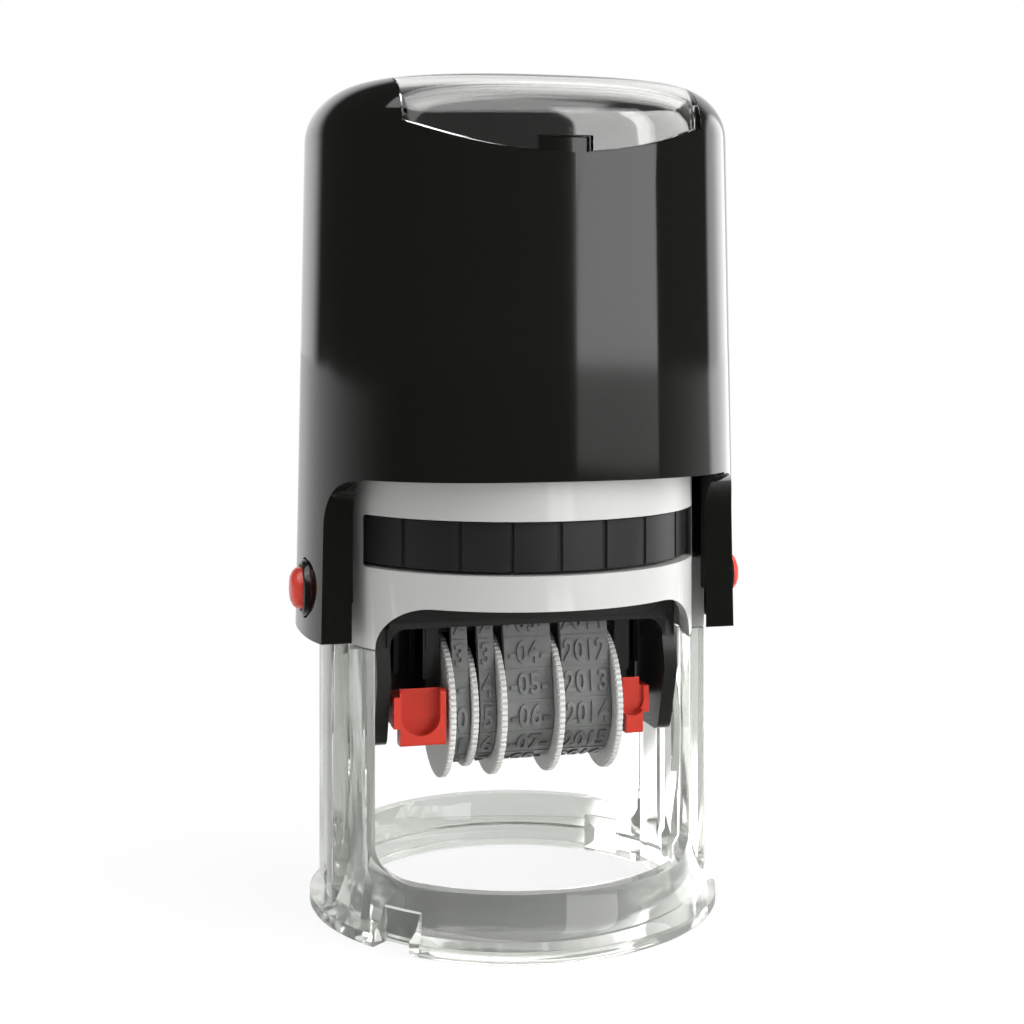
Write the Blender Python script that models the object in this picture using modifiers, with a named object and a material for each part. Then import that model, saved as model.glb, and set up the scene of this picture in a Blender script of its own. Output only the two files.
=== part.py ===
"""Self-inking round date stamp, built the way the real one is put together.

Units are metres, +Z is up, the front faces -Y and the origin is on the desk under the middle of the foot.
At rest the cap stands high, the printing unit faces up to the ink pad and its date wheels hang below it.
Pushing the cap down turns the unit over about its trunnions and brings it down to the paper.
"""

import math

import bmesh
import bpy
from mathutils import Matrix, Vector

# Clearances, overrun of the cutters and weld distance
GAP = 0.0003
OVERRUN = 0.002
WELD = 0.00001
RUN_CLEARANCE = 0.0003
SLOT_CLEARANCE = 0.0004
LEG_CLEARANCE = 0.0013
FRAME_CLEARANCE = 0.0012

# Pivot of the printing unit and its round text plate, which the rest is built round
PIVOT_HEIGHT = 0.0515
FACE_ABOVE_PIVOT = 0.006
FACE_HEIGHT = PIVOT_HEIGHT + FACE_ABOVE_PIVOT
TRAVEL = PIVOT_HEIGHT - FACE_ABOVE_PIVOT
DIE_RADIUS = 0.025
DIE_THICKNESS = 0.0018
DIE_LOW = FACE_HEIGHT - DIE_THICKNESS
BACKING_THICKNESS = 0.0015
BACKING_LOW = DIE_LOW - GAP - BACKING_THICKNESS
BACKING_FOOT_ROOM = 0.0045
BACKING_FOOT_RADIUS = DIE_RADIUS - BACKING_FOOT_ROOM
BACKING_RIM = 0.0006
CARRIER_THICKNESS = 0.002
CARRIER_LOW = BACKING_LOW - GAP - CARRIER_THICKNESS

# Pins that the unit turns on and is steered by
PIN_RADIUS = 0.0013
CAM_PIN_RADIUS = 0.0012
CAM_PIN_REACH = 0.005

# Legs of the plate carrier: half depths at the top, shoulder, knee and bottom
LEG_INNER = DIE_RADIUS - SLOT_CLEARANCE
LEG_THICKNESS = 0.0024
LEG_OUTER = LEG_INNER + LEG_THICKNESS
LEG_TOP_RISE = 0.0018
LEG_TOP = PIVOT_HEIGHT + LEG_TOP_RISE
LEG_SHOULDER_DROP = 0.0045
LEG_SHOULDER = PIVOT_HEIGHT - LEG_SHOULDER_DROP
LEG_KNEE_DROP = 0.0095
LEG_KNEE = PIVOT_HEIGHT - LEG_KNEE_DROP
LEG_BOTTOM_DROP = 0.0217
LEG_BOTTOM = PIVOT_HEIGHT - LEG_BOTTOM_DROP
LEG_TOP_HALF_DEPTH = 0.0106
LEG_SHOULDER_HALF_DEPTH = 0.0112
LEG_KNEE_HALF_DEPTH = 0.0126
LEG_BOTTOM_HALF_DEPTH = 0.009
HOOD_HALF_DEPTH = 0.0124
HOOD_WALL = 0.0018
HOOD_DROP = 0.001
HOOD_CORNER = 0.0015

# Foot ring, side walls and posts of the clear base
WALL = 0.002
WALL_ROOM = 0.0052
WALL_RADIUS = DIE_RADIUS + WALL_ROOM + WALL
FLARE_STAND = 0.0023
FLARE_RADIUS = WALL_RADIUS + FLARE_STAND
FLARE_HEIGHT = 0.0034
FLANGE_STAND = 0.0019
FOOT_RADIUS = FLARE_RADIUS + FLANGE_STAND
FOOT_THICKNESS = 0.0021
FOOT_BORE_ROOM = 0.004
FOOT_BORE_RADIUS = DIE_RADIUS + FOOT_BORE_ROOM
FOOT_WALL_HEIGHT = 0.01
BASE_BELOW_PIVOT = 0.0038
BASE_HEIGHT = PIVOT_HEIGHT - BASE_BELOW_PIVOT
WINDOW_SIDE = 0.0042
WINDOW_HALF_WIDTH = WALL_RADIUS - WINDOW_SIDE
WINDOW_BOTTOM_FILLET = 0.005
WINDOW_TOP_FILLET = 0.008
POST_INNER = LEG_OUTER + 2 * LEG_CLEARANCE
POST_STAND = 0.0018
POST_OUTER = WALL_RADIUS + POST_STAND
POST_HALF_DEPTH = 0.0078
SLOT_BOTTOM = FACE_ABOVE_PIVOT - PIN_RADIUS - SLOT_CLEARANCE
BAY_HALF_WIDTH = LEG_OUTER + LEG_CLEARANCE
BAY_HALF_DEPTH = 0.012
CAM_GROOVE_DEPTH = 0.0018
CAM_GROOVE_FLOOR = POST_INNER + CAM_GROOVE_DEPTH
CAM_PIN_END = CAM_GROOVE_FLOOR - SLOT_CLEARANCE
PIN_STAND = 0.002
PIN_END = POST_OUTER + PIN_STAND
NOTCH_WIDTH = 0.0075
NOTCH_DEPTH = 0.0022
NOTCH_HEIGHT = 0.006
NOTCH_TURN = math.radians(222)

# Upper frame round the ink pad
PAD_ABOVE_FACE = 0.0045
PAD_SLOT_BOTTOM = FACE_HEIGHT + PAD_ABOVE_FACE
PAD_SLOT_HEIGHT = 0.0086
PAD_SLOT_SIDE = 0.0027
PAD_SLOT_HALF_WIDTH = WALL_RADIUS - PAD_SLOT_SIDE
LEDGE_WIDTH = 0.0034
LEDGE_RADIUS = WALL_RADIUS - WALL - LEDGE_WIDTH
LEDGE_THICKNESS = 0.0017
BAND_BELOW_PAD = 0.0061
BAND_BOTTOM = PAD_SLOT_BOTTOM - BAND_BELOW_PAD
POST_BELOW_PAD = 0.0014
FRAME_POST_TOP = PAD_SLOT_BOTTOM - POST_BELOW_PAD
FRAME_ABOVE_PAD = 0.022
FRAME_TOP = PAD_SLOT_BOTTOM + FRAME_ABOVE_PAD
FRAME_ROOF = 0.002

# Ink pad and its tray
TRAY_SET_BACK = 0.001
TRAY_FRONT_RADIUS = WALL_RADIUS - TRAY_SET_BACK
TRAY_FLOOR = 0.0016
TRAY_RIM = 0.0022
TRAY_GROOVES = 7
TRAY_GROOVE_PITCH = 0.008
TRAY_GROOVE_WIDTH = 0.0009
TRAY_GROOVE_DEPTH = 0.0006
PAD_RECESS = 0.0004

# Cap with its two side arms
CAP_WALL = 0.0018
CAP_HEAD_WALL = 0.0036
CAP_CEILING = 0.0044
CAP_ABOVE_FRAME = 0.0615
CAP_TOP = FRAME_TOP + CAP_ABOVE_FRAME
CAP_HEAD_DEPTH = 0.0155
CAP_HEAD_STEP = CAP_TOP - CAP_HEAD_DEPTH
CAP_LAP = 0.007
CAP_EDGE = FRAME_TOP - CAP_LAP
CAP_CORNER_RADIUS = 0.009
CAP_CROWN = 0.0012
CAP_POWER = 2.5
ARM_ROOM = 0.0046
CAP_FOOT_HALF_WIDTH = POST_OUTER + ARM_ROOM
CAP_TAPER_WIDTH = 0.0018
CAP_HEAD_HALF_WIDTH = CAP_FOOT_HALF_WIDTH - CAP_TAPER_WIDTH
CAP_FOOT_HALF_DEPTH = WALL_RADIUS + FRAME_CLEARANCE + CAP_WALL
CAP_TAPER_DEPTH = 0.0006
CAP_HEAD_HALF_DEPTH = CAP_FOOT_HALF_DEPTH - CAP_TAPER_DEPTH
ARM_BELOW_PIVOT = 0.0025
ARM_BOTTOM = PIVOT_HEIGHT - ARM_BELOW_PIVOT
ARM_SIDE = 0.0066
ARM_HALF_DEPTH = POST_HALF_DEPTH + ARM_SIDE
ARM_WALL = 0.0022
ARM_LAP = 0.0007
ARM_INNER = WALL_RADIUS - ARM_LAP
BOSS_RADIUS = 0.0025
ARM_FILLET = 0.0085

# Index window and the card below it
INDEX_SIDE = 0.0112
INDEX_HALF_WIDTH = CAP_HEAD_HALF_WIDTH - INDEX_SIDE
INDEX_THICKNESS = 0.0014
INDEX_HANG = 0.0147
INDEX_LOW = CAP_TOP - INDEX_HANG
INDEX_RISE = 0.0052
CARD_THICKNESS = 0.0003
CARD_SIDE = 0.0051
CARD_HALF_WIDTH = INDEX_HALF_WIDTH - CARD_SIDE
CARD_FRONT = 0.0151
CARD_HALF_DEPTH = CAP_HEAD_HALF_DEPTH - CARD_FRONT
CARD_CORNER = 0.004
CARD_AIR = 0.0015
CARD_DROP = INDEX_THICKNESS + CARD_AIR
FINGER_NOTCH_HALF_WIDTH = 0.0046
FINGER_NOTCH_DROP = 0.012
FINGER_NOTCH_TOP = CAP_TOP - FINGER_NOTCH_DROP

# Lock buttons in the arms
BUTTON_RADIUS = 0.0036
BUTTON_FORWARD = 0.005
BUTTON_HEIGHT = PIVOT_HEIGHT + PIN_RADIUS + BUTTON_RADIUS + 3 * RUN_CLEARANCE
BUTTON_DOME = 0.0008
BUTTON_CROWN = 0.0002
BUTTON_STAND = 0.0024
BUTTON_OUTER = CAP_FOOT_HALF_WIDTH + BUTTON_STAND
BUTTON_SINK = 0.0028
BUTTON_INNER = CAP_FOOT_HALF_WIDTH - BUTTON_SINK
BEZEL_WIDTH = 0.0013
BEZEL_RADIUS = BUTTON_RADIUS + BEZEL_WIDTH
BEZEL_STAND = 0.0011

# Return spring between frame and cap
SPRING_RADIUS = 0.0092
SPRING_WIRE = 0.0007
SPRING_TURNS = 9
GUIDE_CLEARANCE = 0.0013
GUIDE_RADIUS = SPRING_RADIUS - SPRING_WIRE - GUIDE_CLEARANCE
GUIDE_WALL = 0.002
GUIDE_BORE = GUIDE_RADIUS - GUIDE_WALL
GUIDE_HEIGHT = 0.01

# Date unit: wheels, bands, nose bar, axle and cheeks
DRUM_RADIUS = 0.0082
BAND_THICKNESS = 0.0015
BAND_RADIUS = DRUM_RADIUS + RUN_CLEARANCE + BAND_THICKNESS
BAND_TOP_HALF_DEPTH = 0.006
BAND_CORNER = 0.0016
BAND_SIDE_GAP = 0.0002
DIVIDER_STAND = 0.0012
DIVIDER_RADIUS = BAND_RADIUS + DIVIDER_STAND
DISC_STAND = 0.0029
DISC_RADIUS = BAND_RADIUS + DISC_STAND
DISC_THICKNESS = 0.0012
DISC_TEETH = 40
TOOTH_DEPTH = 0.0006
DAY_DRUM_SHARE = 0.128
MONTH_DRUM_SHARE = 0.356
YEAR_DRUM_SHARE = 0.364
FIRST_DISC_SHARE = 0.576
DAY_DRUM_WIDTH = DAY_DRUM_SHARE * DIE_RADIUS
MONTH_DRUM_WIDTH = MONTH_DRUM_SHARE * DIE_RADIUS
YEAR_DRUM_WIDTH = YEAR_DRUM_SHARE * DIE_RADIUS
FIRST_DISC = -FIRST_DISC_SHARE * DIE_RADIUS
WHEEL_GAP = 0.0003
NOSE_HALF_DEPTH = BAND_TOP_HALF_DEPTH - BAND_THICKNESS - GAP
NOSE_DEPTH = 0.003
NOSE_HIGH = CARRIER_LOW - GAP
AXLE_RADIUS = 0.0015
AXLE_HEAD_STEP = 0.0009
AXLE_HEAD_RADIUS = AXLE_RADIUS + AXLE_HEAD_STEP
AXLE_HEAD = 0.0008
AXLE_HEIGHT = NOSE_HIGH - NOSE_DEPTH - SLOT_CLEARANCE - DISC_RADIUS
HUB_RECESS_RADIUS = 0.005
CHEEK_GAP = 0.0005
CHEEK_THICKNESS = 0.0023
CHEEK_HALF_DEPTH = 0.006
CHEEK_BOTTOM_RADIUS = 0.0055
WEB_NEAR = 0.0031
WEB_THICKNESS = 0.0016
WEB_LOW_DROP = 0.001
WEB_LOW = AXLE_HEIGHT - WEB_LOW_DROP

# Red release clips beside the wheels
CLIP_DROP = 0.0045
CLIP_LOW = AXLE_HEIGHT - CLIP_DROP
CLIP_RISE = 0.005
CLIP_HIGH = AXLE_HEIGHT + CLIP_RISE
CLIP_FRONT = 0.0125
CLIP_PLATE = 0.003
CLIP_BACK_GAP = 0.001
CLIP_BACK = AXLE_HEAD_RADIUS + CLIP_BACK_GAP
CLIP_ARM_DROP = 0.0012
CLIP_ARM_LOW = AXLE_HEIGHT - CLIP_ARM_DROP
CLIP_PLATE_GAP = 0.0006
CLIP_RIGHT_ARM = 0.0025

# Facets
ROUND_STEPS = 48
SMALL_STEPS = 20
PIN_STEPS = 16
FILLET_STEPS = 5
SPRING_STEPS = 10
GROOVE_STEPS = 16
CROWN_STEPS = 4

parts = None
cutters = None


def clear_scene():
    for item in list(bpy.data.objects):
        bpy.data.objects.remove(item, do_unlink=True)


def make_collection(name):
    collection = bpy.data.collections.new(name)
    bpy.context.scene.collection.children.link(collection)
    return collection


def plastic(name, colour, roughness, metallic=0.0, alpha=1.0):
    material = bpy.data.materials.new(name)
    material.use_nodes = True
    shader = material.node_tree.nodes["Principled BSDF"]
    shader.inputs["Base Color"].default_value = (*colour, 1.0)
    shader.inputs["Roughness"].default_value = roughness
    shader.inputs["Metallic"].default_value = metallic
    shader.inputs["Alpha"].default_value = alpha
    return material


def add_object(name, mesh, material=None):
    item = bpy.data.objects.new(name, mesh)
    (parts if material else cutters).objects.link(item)
    if material:
        mesh.materials.append(material)
        mesh.shade_smooth()
        mesh.set_sharp_from_angle(angle=math.radians(35))
    else:
        item.hide_render = True
        item.display_type = "WIRE"
    return item


def to_mesh(name, source):
    """The evaluated mesh of a helper object, welded, with its normals out; the helper goes."""
    depsgraph = bpy.context.evaluated_depsgraph_get()
    mesh = bpy.data.meshes.new_from_object(source.evaluated_get(depsgraph))
    mesh.name = name
    shape = bmesh.new()
    shape.from_mesh(mesh)
    bmesh.ops.remove_doubles(shape, verts=shape.verts, dist=WELD)
    loose = [edge for edge in shape.edges if not edge.link_faces]
    bmesh.ops.delete(shape, geom=loose, context="EDGES")
    bmesh.ops.recalc_face_normals(shape, faces=shape.faces)
    shape.to_mesh(mesh)
    shape.free()
    mesh.materials.clear()
    bpy.data.objects.remove(source, do_unlink=True)
    return mesh


def turned_mesh(name, profile, steps):
    """A closed outline of (radius, height) points turned about Z."""
    outline = bpy.data.meshes.new(name + "_profile")
    count = len(profile)
    edges = [(i, (i + 1) % count) for i in range(count)]
    outline.from_pydata([(radius, 0, height) for radius, height in profile], edges, [])
    helper = bpy.data.objects.new(name + "_helper", outline)
    cutters.objects.link(helper)
    screw = helper.modifiers.new("turn", "SCREW")
    screw.steps = steps
    screw.render_steps = steps
    screw.use_merge_vertices = True
    screw.merge_threshold = WELD
    return to_mesh(name, helper)


def plate_mesh(name, loops, thickness):
    """A flat outline with any holes, in local XY, from z = 0 to its thickness."""
    curve = bpy.data.curves.new(name + "_outline", "CURVE")
    curve.dimensions = "2D"
    curve.fill_mode = "BOTH"
    curve.extrude = thickness / 2
    for loop in loops:
        spline = curve.splines.new("POLY")
        spline.points.add(len(loop) - 1)
        for point, (x, y) in zip(spline.points, loop):
            point.co = (x, y, 0, 1)
        spline.use_cyclic_u = True
    helper = bpy.data.objects.new(name + "_helper", curve)
    cutters.objects.link(helper)
    mesh = to_mesh(name, helper)
    mesh.transform(Matrix.Translation((0, 0, thickness / 2)))
    return mesh


# Local XY of a plate laid in the world's YZ plane (facing X) or XZ plane (facing Y)
FACING_X = Matrix(((0, 0, 1, 0), (1, 0, 0, 0), (0, 1, 0, 0), (0, 0, 0, 1)))
FACING_Y = Matrix(((1, 0, 0, 0), (0, 0, -1, 0), (0, 1, 0, 0), (0, 0, 0, 1)))


def plate(name, loops, thickness, material=None, place=None):
    mesh = plate_mesh(name, loops, thickness)
    if place is not None:
        mesh.transform(place)
    return add_object(name, mesh, material)


def turned(name, profile, steps, material=None, along_x=False, location=(0, 0, 0)):
    item = add_object(name, turned_mesh(name, profile, steps), material)
    item.location = location
    if along_x:
        item.rotation_euler = (0, math.pi / 2, 0)
    return item


def box(name, low, high, material=None):
    shape = bmesh.new()
    bmesh.ops.create_cube(shape, size=1)
    size = Vector(high) - Vector(low)
    middle = (Vector(high) + Vector(low)) / 2
    bmesh.ops.scale(shape, vec=size, verts=shape.verts)
    bmesh.ops.translate(shape, vec=middle, verts=shape.verts)
    mesh = bpy.data.meshes.new(name)
    shape.to_mesh(mesh)
    shape.free()
    return add_object(name, mesh, material)


def rod_x(name, radius, x_start, x_end, y, z, steps, material=None):
    shape = bmesh.new()
    bmesh.ops.create_cone(
        shape, cap_ends=True, segments=steps, radius1=radius, radius2=radius, depth=abs(x_end - x_start)
    )
    turn = Matrix.Translation(((x_start + x_end) / 2, y, z)) @ Matrix.Rotation(math.pi / 2, 4, "Y")
    bmesh.ops.transform(shape, matrix=turn, verts=shape.verts)
    mesh = bpy.data.meshes.new(name)
    shape.to_mesh(mesh)
    shape.free()
    return add_object(name, mesh, material)


def boolean(target, tool, operation):
    step = target.modifiers.new(tool.name, "BOOLEAN")
    step.operation = operation
    step.object = tool
    step.solver = "EXACT"


def cut(target, *tools):
    for tool in tools:
        boolean(target, tool, "DIFFERENCE")


def fuse(target, *tools):
    for tool in tools:
        boolean(target, tool, "UNION")


def arc(centre, radius, start, end, steps):
    return [
        (
            centre[0] + radius * math.cos(start + (end - start) * i / steps),
            centre[1] + radius * math.sin(start + (end - start) * i / steps),
        )
        for i in range(steps + 1)
    ]


def circle(radius, steps, start=0.0):
    return arc((0, 0), radius, start, start + 2 * math.pi * (steps - 1) / steps, steps - 1)


def rounded_rectangle(x_low, x_high, y_low, y_high, radius_low, radius_high, steps=FILLET_STEPS):
    quarter = math.pi / 2
    points = arc((x_high - radius_low, y_low + radius_low), radius_low, -quarter, 0, steps)
    points += arc((x_high - radius_high, y_high - radius_high), radius_high, 0, quarter, steps)
    points += arc((x_low + radius_high, y_high - radius_high), radius_high, quarter, 2 * quarter, steps)
    points += arc((x_low + radius_low, y_low + radius_low), radius_low, 2 * quarter, 3 * quarter, steps)
    return points


def carrier_empty(name, location):
    empty = bpy.data.objects.new(name, None)
    empty.location = location
    parts.objects.link(empty)
    return empty


def carry(empty, *pieces):
    """Parent the pieces to the empty on their joint's axis without moving them."""
    for piece in pieces:
        piece.parent = empty
        piece.matrix_parent_inverse = Matrix.Translation(empty.location).inverted()


def window_cutter(name, z_low, z_high, radius_low, radius_high):
    """The opening that goes through front and rear, as one prism along Y."""
    reach = FOOT_RADIUS + OVERRUN
    outline = rounded_rectangle(
        -WINDOW_HALF_WIDTH, WINDOW_HALF_WIDTH, z_low, z_high, radius_low, radius_high
    )
    return plate(name, [outline], 2 * reach, place=Matrix.Translation((0, reach, 0)) @ FACING_Y)


def cam_groove_outline():
    """The path of the cam pin as the unit turns over on its way down, widened by the pin and its clearance."""
    half_width = CAM_PIN_RADIUS + SLOT_CLEARANCE
    path = []
    for i in range(GROOVE_STEPS + 1):
        turn = math.pi * i / GROOVE_STEPS
        drop = TRAVEL * i / GROOVE_STEPS
        path.append(
            (-CAM_PIN_REACH * math.sin(turn), PIVOT_HEIGHT - drop - CAM_PIN_REACH * math.cos(turn))
        )
    left, right = [], []
    for i, (y, z) in enumerate(path):
        before = path[max(i - 1, 0)]
        after = path[min(i + 1, GROOVE_STEPS)]
        step_y, step_z = after[0] - before[0], after[1] - before[1]
        length = math.hypot(step_y, step_z)
        left.append((y - half_width * step_z / length, z + half_width * step_y / length))
        right.append((y + half_width * step_z / length, z - half_width * step_y / length))
    left[0] = (left[0][0], left[0][1] + half_width)
    right[0] = (right[0][0], right[0][1] + half_width)
    left[-1] = (left[-1][0], left[-1][1] - half_width)
    right[-1] = (right[-1][0], right[-1][1] - half_width)
    return left + right[::-1]


def both_sides(name, outline, x_inner, x_outer):
    """The same YZ outline as a prism on the left and one on the right."""
    depth = x_outer - x_inner
    return [
        plate(f"{name}_left", [outline], depth, place=Matrix.Translation((-x_outer, 0, 0)) @ FACING_X),
        plate(f"{name}_right", [outline], depth, place=Matrix.Translation((x_inner, 0, 0)) @ FACING_X),
    ]


def post_outline(z_low, z_high):
    return [
        (-POST_HALF_DEPTH, z_low),
        (POST_HALF_DEPTH, z_low),
        (POST_HALF_DEPTH, z_high),
        (-POST_HALF_DEPTH, z_high),
    ]


def slot_outline(z_low, z_high):
    half = PIN_RADIUS + SLOT_CLEARANCE
    return [(-half, z_low), (half, z_low), (half, z_high), (-half, z_high)]


def build_base(material):
    """The clear foot ring with its flange, side walls and slotted posts in one moulding."""
    inner = WALL_RADIUS - WALL
    profile = [
        (WALL_RADIUS, BASE_HEIGHT),
        (WALL_RADIUS, FOOT_WALL_HEIGHT),
        *arc(
            (FLARE_RADIUS, FOOT_WALL_HEIGHT),
            FLARE_RADIUS - WALL_RADIUS,
            math.radians(195),
            math.radians(235),
            2,
        ),
        (FLARE_RADIUS, FLARE_HEIGHT),
        (FOOT_RADIUS, FOOT_THICKNESS),
        (FOOT_RADIUS, 0),
        (FOOT_BORE_RADIUS, 0),
        (FOOT_BORE_RADIUS, FOOT_WALL_HEIGHT - WALL),
        (inner, FOOT_WALL_HEIGHT),
        (inner, BASE_HEIGHT),
    ]
    base = turned("clear_base", profile, ROUND_STEPS, material)
    fuse(base, *both_sides("post", post_outline(FOOT_THICKNESS / 2, BASE_HEIGHT), POST_INNER, POST_OUTER))
    cut(
        base,
        window_cutter(
            "base_window",
            FOOT_WALL_HEIGHT,
            BASE_HEIGHT + 2 * WINDOW_BOTTOM_FILLET,
            WINDOW_BOTTOM_FILLET,
            WINDOW_BOTTOM_FILLET,
        ),
        box(
            "leg_bay",
            (-BAY_HALF_WIDTH, -BAY_HALF_DEPTH, -OVERRUN),
            (BAY_HALF_WIDTH, BAY_HALF_DEPTH, BASE_HEIGHT + OVERRUN),
        ),
        *both_sides(
            "base_slot",
            slot_outline(SLOT_BOTTOM, BASE_HEIGHT + OVERRUN),
            POST_INNER - OVERRUN,
            POST_OUTER + OVERRUN,
        ),
        *both_sides("cam_groove", cam_groove_outline(), POST_INNER - OVERRUN, CAM_GROOVE_FLOOR),
    )
    for side in (0, math.pi):
        notch = box(
            f"notch_{'rear' if side else 'front'}",
            (FLARE_RADIUS - NOTCH_DEPTH, -NOTCH_WIDTH / 2, -OVERRUN),
            (FOOT_RADIUS + OVERRUN, NOTCH_WIDTH / 2, NOTCH_HEIGHT),
        )
        notch.rotation_euler = (0, 0, NOTCH_TURN + side)
        cut(base, notch)
    return base


def build_frame(material):
    """The grey upper frame: a roofed ring with a ledge for the pad tray and the ends of the posts."""
    inner = WALL_RADIUS - WALL
    bottom = BASE_HEIGHT + GAP
    profile = [
        (WALL_RADIUS, FRAME_TOP),
        (WALL_RADIUS, bottom),
        (inner, bottom),
        (inner, PAD_SLOT_BOTTOM - LEDGE_THICKNESS),
        (LEDGE_RADIUS, PAD_SLOT_BOTTOM - LEDGE_THICKNESS),
        (LEDGE_RADIUS, PAD_SLOT_BOTTOM),
        (inner, PAD_SLOT_BOTTOM),
        (inner, FRAME_TOP - FRAME_ROOF),
        (GUIDE_BORE, FRAME_TOP - FRAME_ROOF),
        (GUIDE_BORE, FRAME_TOP),
    ]
    frame = turned("silver_frame", profile, ROUND_STEPS, material)
    fuse(frame, *both_sides("frame_post", post_outline(bottom, FRAME_POST_TOP), POST_INNER, POST_OUTER))
    cut(
        frame,
        window_cutter(
            "frame_window",
            bottom - 2 * WINDOW_TOP_FILLET,
            BAND_BOTTOM,
            WINDOW_TOP_FILLET,
            WINDOW_TOP_FILLET,
        ),
        box(
            "pad_slot",
            (-PAD_SLOT_HALF_WIDTH, -WALL_RADIUS - OVERRUN, PAD_SLOT_BOTTOM - GAP),
            (PAD_SLOT_HALF_WIDTH, GAP, PAD_SLOT_BOTTOM + PAD_SLOT_HEIGHT),
        ),
        *both_sides(
            "frame_slot",
            slot_outline(bottom - OVERRUN, PIVOT_HEIGHT + PIN_RADIUS + SLOT_CLEARANCE),
            POST_INNER - OVERRUN,
            POST_OUTER + OVERRUN,
        ),
    )
    return frame


def tray_outline(inset, grooved):
    """A half round at the rear, straight sides and a front arc, which may have finger grooves."""
    rear = WALL_RADIUS - WALL - 2 * GAP - inset
    half_width = PAD_SLOT_HALF_WIDTH - GAP - inset
    front = TRAY_FRONT_RADIUS - inset
    rear_start = math.acos(half_width / rear)
    points = arc((0, 0), rear, rear_start, math.pi - rear_start, ROUND_STEPS // 2)
    corner = math.acos(half_width / front)
    marks = [-front * math.cos(corner)]
    if grooved:
        for i in range(TRAY_GROOVES):
            middle = (i - (TRAY_GROOVES - 1) / 2) * TRAY_GROOVE_PITCH
            half = TRAY_GROOVE_WIDTH / 2
            for x, depth in ((-half, 0), (-half, 1), (half, 1), (half, 0)):
                along = middle + x
                points.append((along, -math.sqrt(front**2 - along**2) + depth * TRAY_GROOVE_DEPTH))
        points[-4 * TRAY_GROOVES:] = [
            (marks[0], -front * math.sin(corner)),
            *points[-4 * TRAY_GROOVES:],
            (-marks[0], -front * math.sin(corner)),
        ]
    else:
        points += arc((0, 0), front, math.pi + corner, 2 * math.pi - corner, ROUND_STEPS // 3)
    return points


def build_tray(tray_material, pad_material):
    """The black pad cassette, open below, and the felt pad pressed into it."""
    low = PAD_SLOT_BOTTOM + GAP
    high = PAD_SLOT_BOTTOM + PAD_SLOT_HEIGHT - GAP
    tray = plate(
        "pad_tray", [tray_outline(0, True)], high - low, tray_material, Matrix.Translation((0, 0, low))
    )
    pocket = plate(
        "tray_pocket",
        [tray_outline(TRAY_RIM, False)],
        high - TRAY_FLOOR - low + OVERRUN,
        place=Matrix.Translation((0, 0, low - OVERRUN)),
    )
    cut(tray, pocket)
    pad = plate(
        "ink_pad",
        [tray_outline(TRAY_RIM + GAP, False)],
        high - TRAY_FLOOR - GAP - low - PAD_RECESS,
        pad_material,
        Matrix.Translation((0, 0, low + PAD_RECESS)),
    )
    return tray, pad


def cap_section(height, inset):
    """Half width and half depth of the cap's outside at a height, less an inset."""
    share = (height - ARM_BOTTOM) / (CAP_TOP - ARM_BOTTOM)
    half_width = CAP_FOOT_HALF_WIDTH + (CAP_HEAD_HALF_WIDTH - CAP_FOOT_HALF_WIDTH) * share
    half_depth = CAP_FOOT_HALF_DEPTH + (CAP_HEAD_HALF_DEPTH - CAP_FOOT_HALF_DEPTH) * share
    return half_width - inset, half_depth - inset


def cap_body(name, inset, z_low, ceiling, material=None):
    """A solid with the cap's oval plan, its taper, rounded shoulder and crowned top, shrunk by an inset."""
    top = CAP_TOP - ceiling - CAP_CROWN
    radius = CAP_CORNER_RADIUS - inset
    shoulder = top - radius
    rings = [(z_low, inset, 1.0)]
    middle = (CAP_EDGE + CAP_TOP) / 2
    if z_low < CAP_EDGE:
        rings += [(CAP_EDGE, inset, 1.0)]
    if z_low < middle:
        rings += [(middle, inset, 1.0)]
    for i in range(FILLET_STEPS + 1):
        turn = math.pi / 2 * i / FILLET_STEPS
        rings.append((shoulder + radius * math.sin(turn), inset + radius * (1 - math.cos(turn)), 1.0))
    for i in range(1, CROWN_STEPS):
        share = 1 - i / CROWN_STEPS
        rings.append((top + CAP_CROWN * (1 - share**2), inset + radius, share))
    shape = bmesh.new()
    loops = []
    for height, shrink, share in rings:
        half_width, half_depth = cap_section(height, shrink)
        verts = []
        for i in range(ROUND_STEPS):
            turn = 2 * math.pi * (i + 0.5) / ROUND_STEPS
            across, along = math.cos(turn), math.sin(turn)
            x = math.copysign(abs(across) ** (2 / CAP_POWER), across) * half_width * share
            y = math.copysign(abs(along) ** (2 / CAP_POWER), along) * half_depth * share
            verts.append(shape.verts.new((x, y, height)))
        loops.append([shape.edges.new((verts[i - 1], verts[i])) for i in range(ROUND_STEPS)])
    for lower, upper in zip(loops, loops[1:]):
        bmesh.ops.bridge_loops(shape, edges=lower + upper)
    bmesh.ops.contextual_create(shape, geom=loops[0])
    bmesh.ops.contextual_create(shape, geom=loops[-1])
    bmesh.ops.recalc_face_normals(shape, faces=shape.faces)
    mesh = bpy.data.meshes.new(name)
    shape.to_mesh(mesh)
    shape.free()
    return add_object(name, mesh, material)


def index_outline(clearance):
    """The window's outline seen from the front: straight sides and a hanging curve below."""
    half_width = INDEX_HALF_WIDTH + clearance
    low = INDEX_LOW - clearance
    points = [(half_width, CAP_TOP + OVERRUN), (-half_width, CAP_TOP + OVERRUN)]
    count = 2 * FILLET_STEPS
    for i in range(count + 1):
        share = 2 * i / count - 1
        points.append((half_width * share, low + INDEX_RISE * share**2))
    return points


def index_prism(name, clearance):
    reach = CAP_FOOT_HALF_DEPTH + OVERRUN
    return plate(
        name,
        [index_outline(clearance)],
        2 * reach,
        place=Matrix.Translation((0, reach, 0)) @ FACING_Y,
    )


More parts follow.
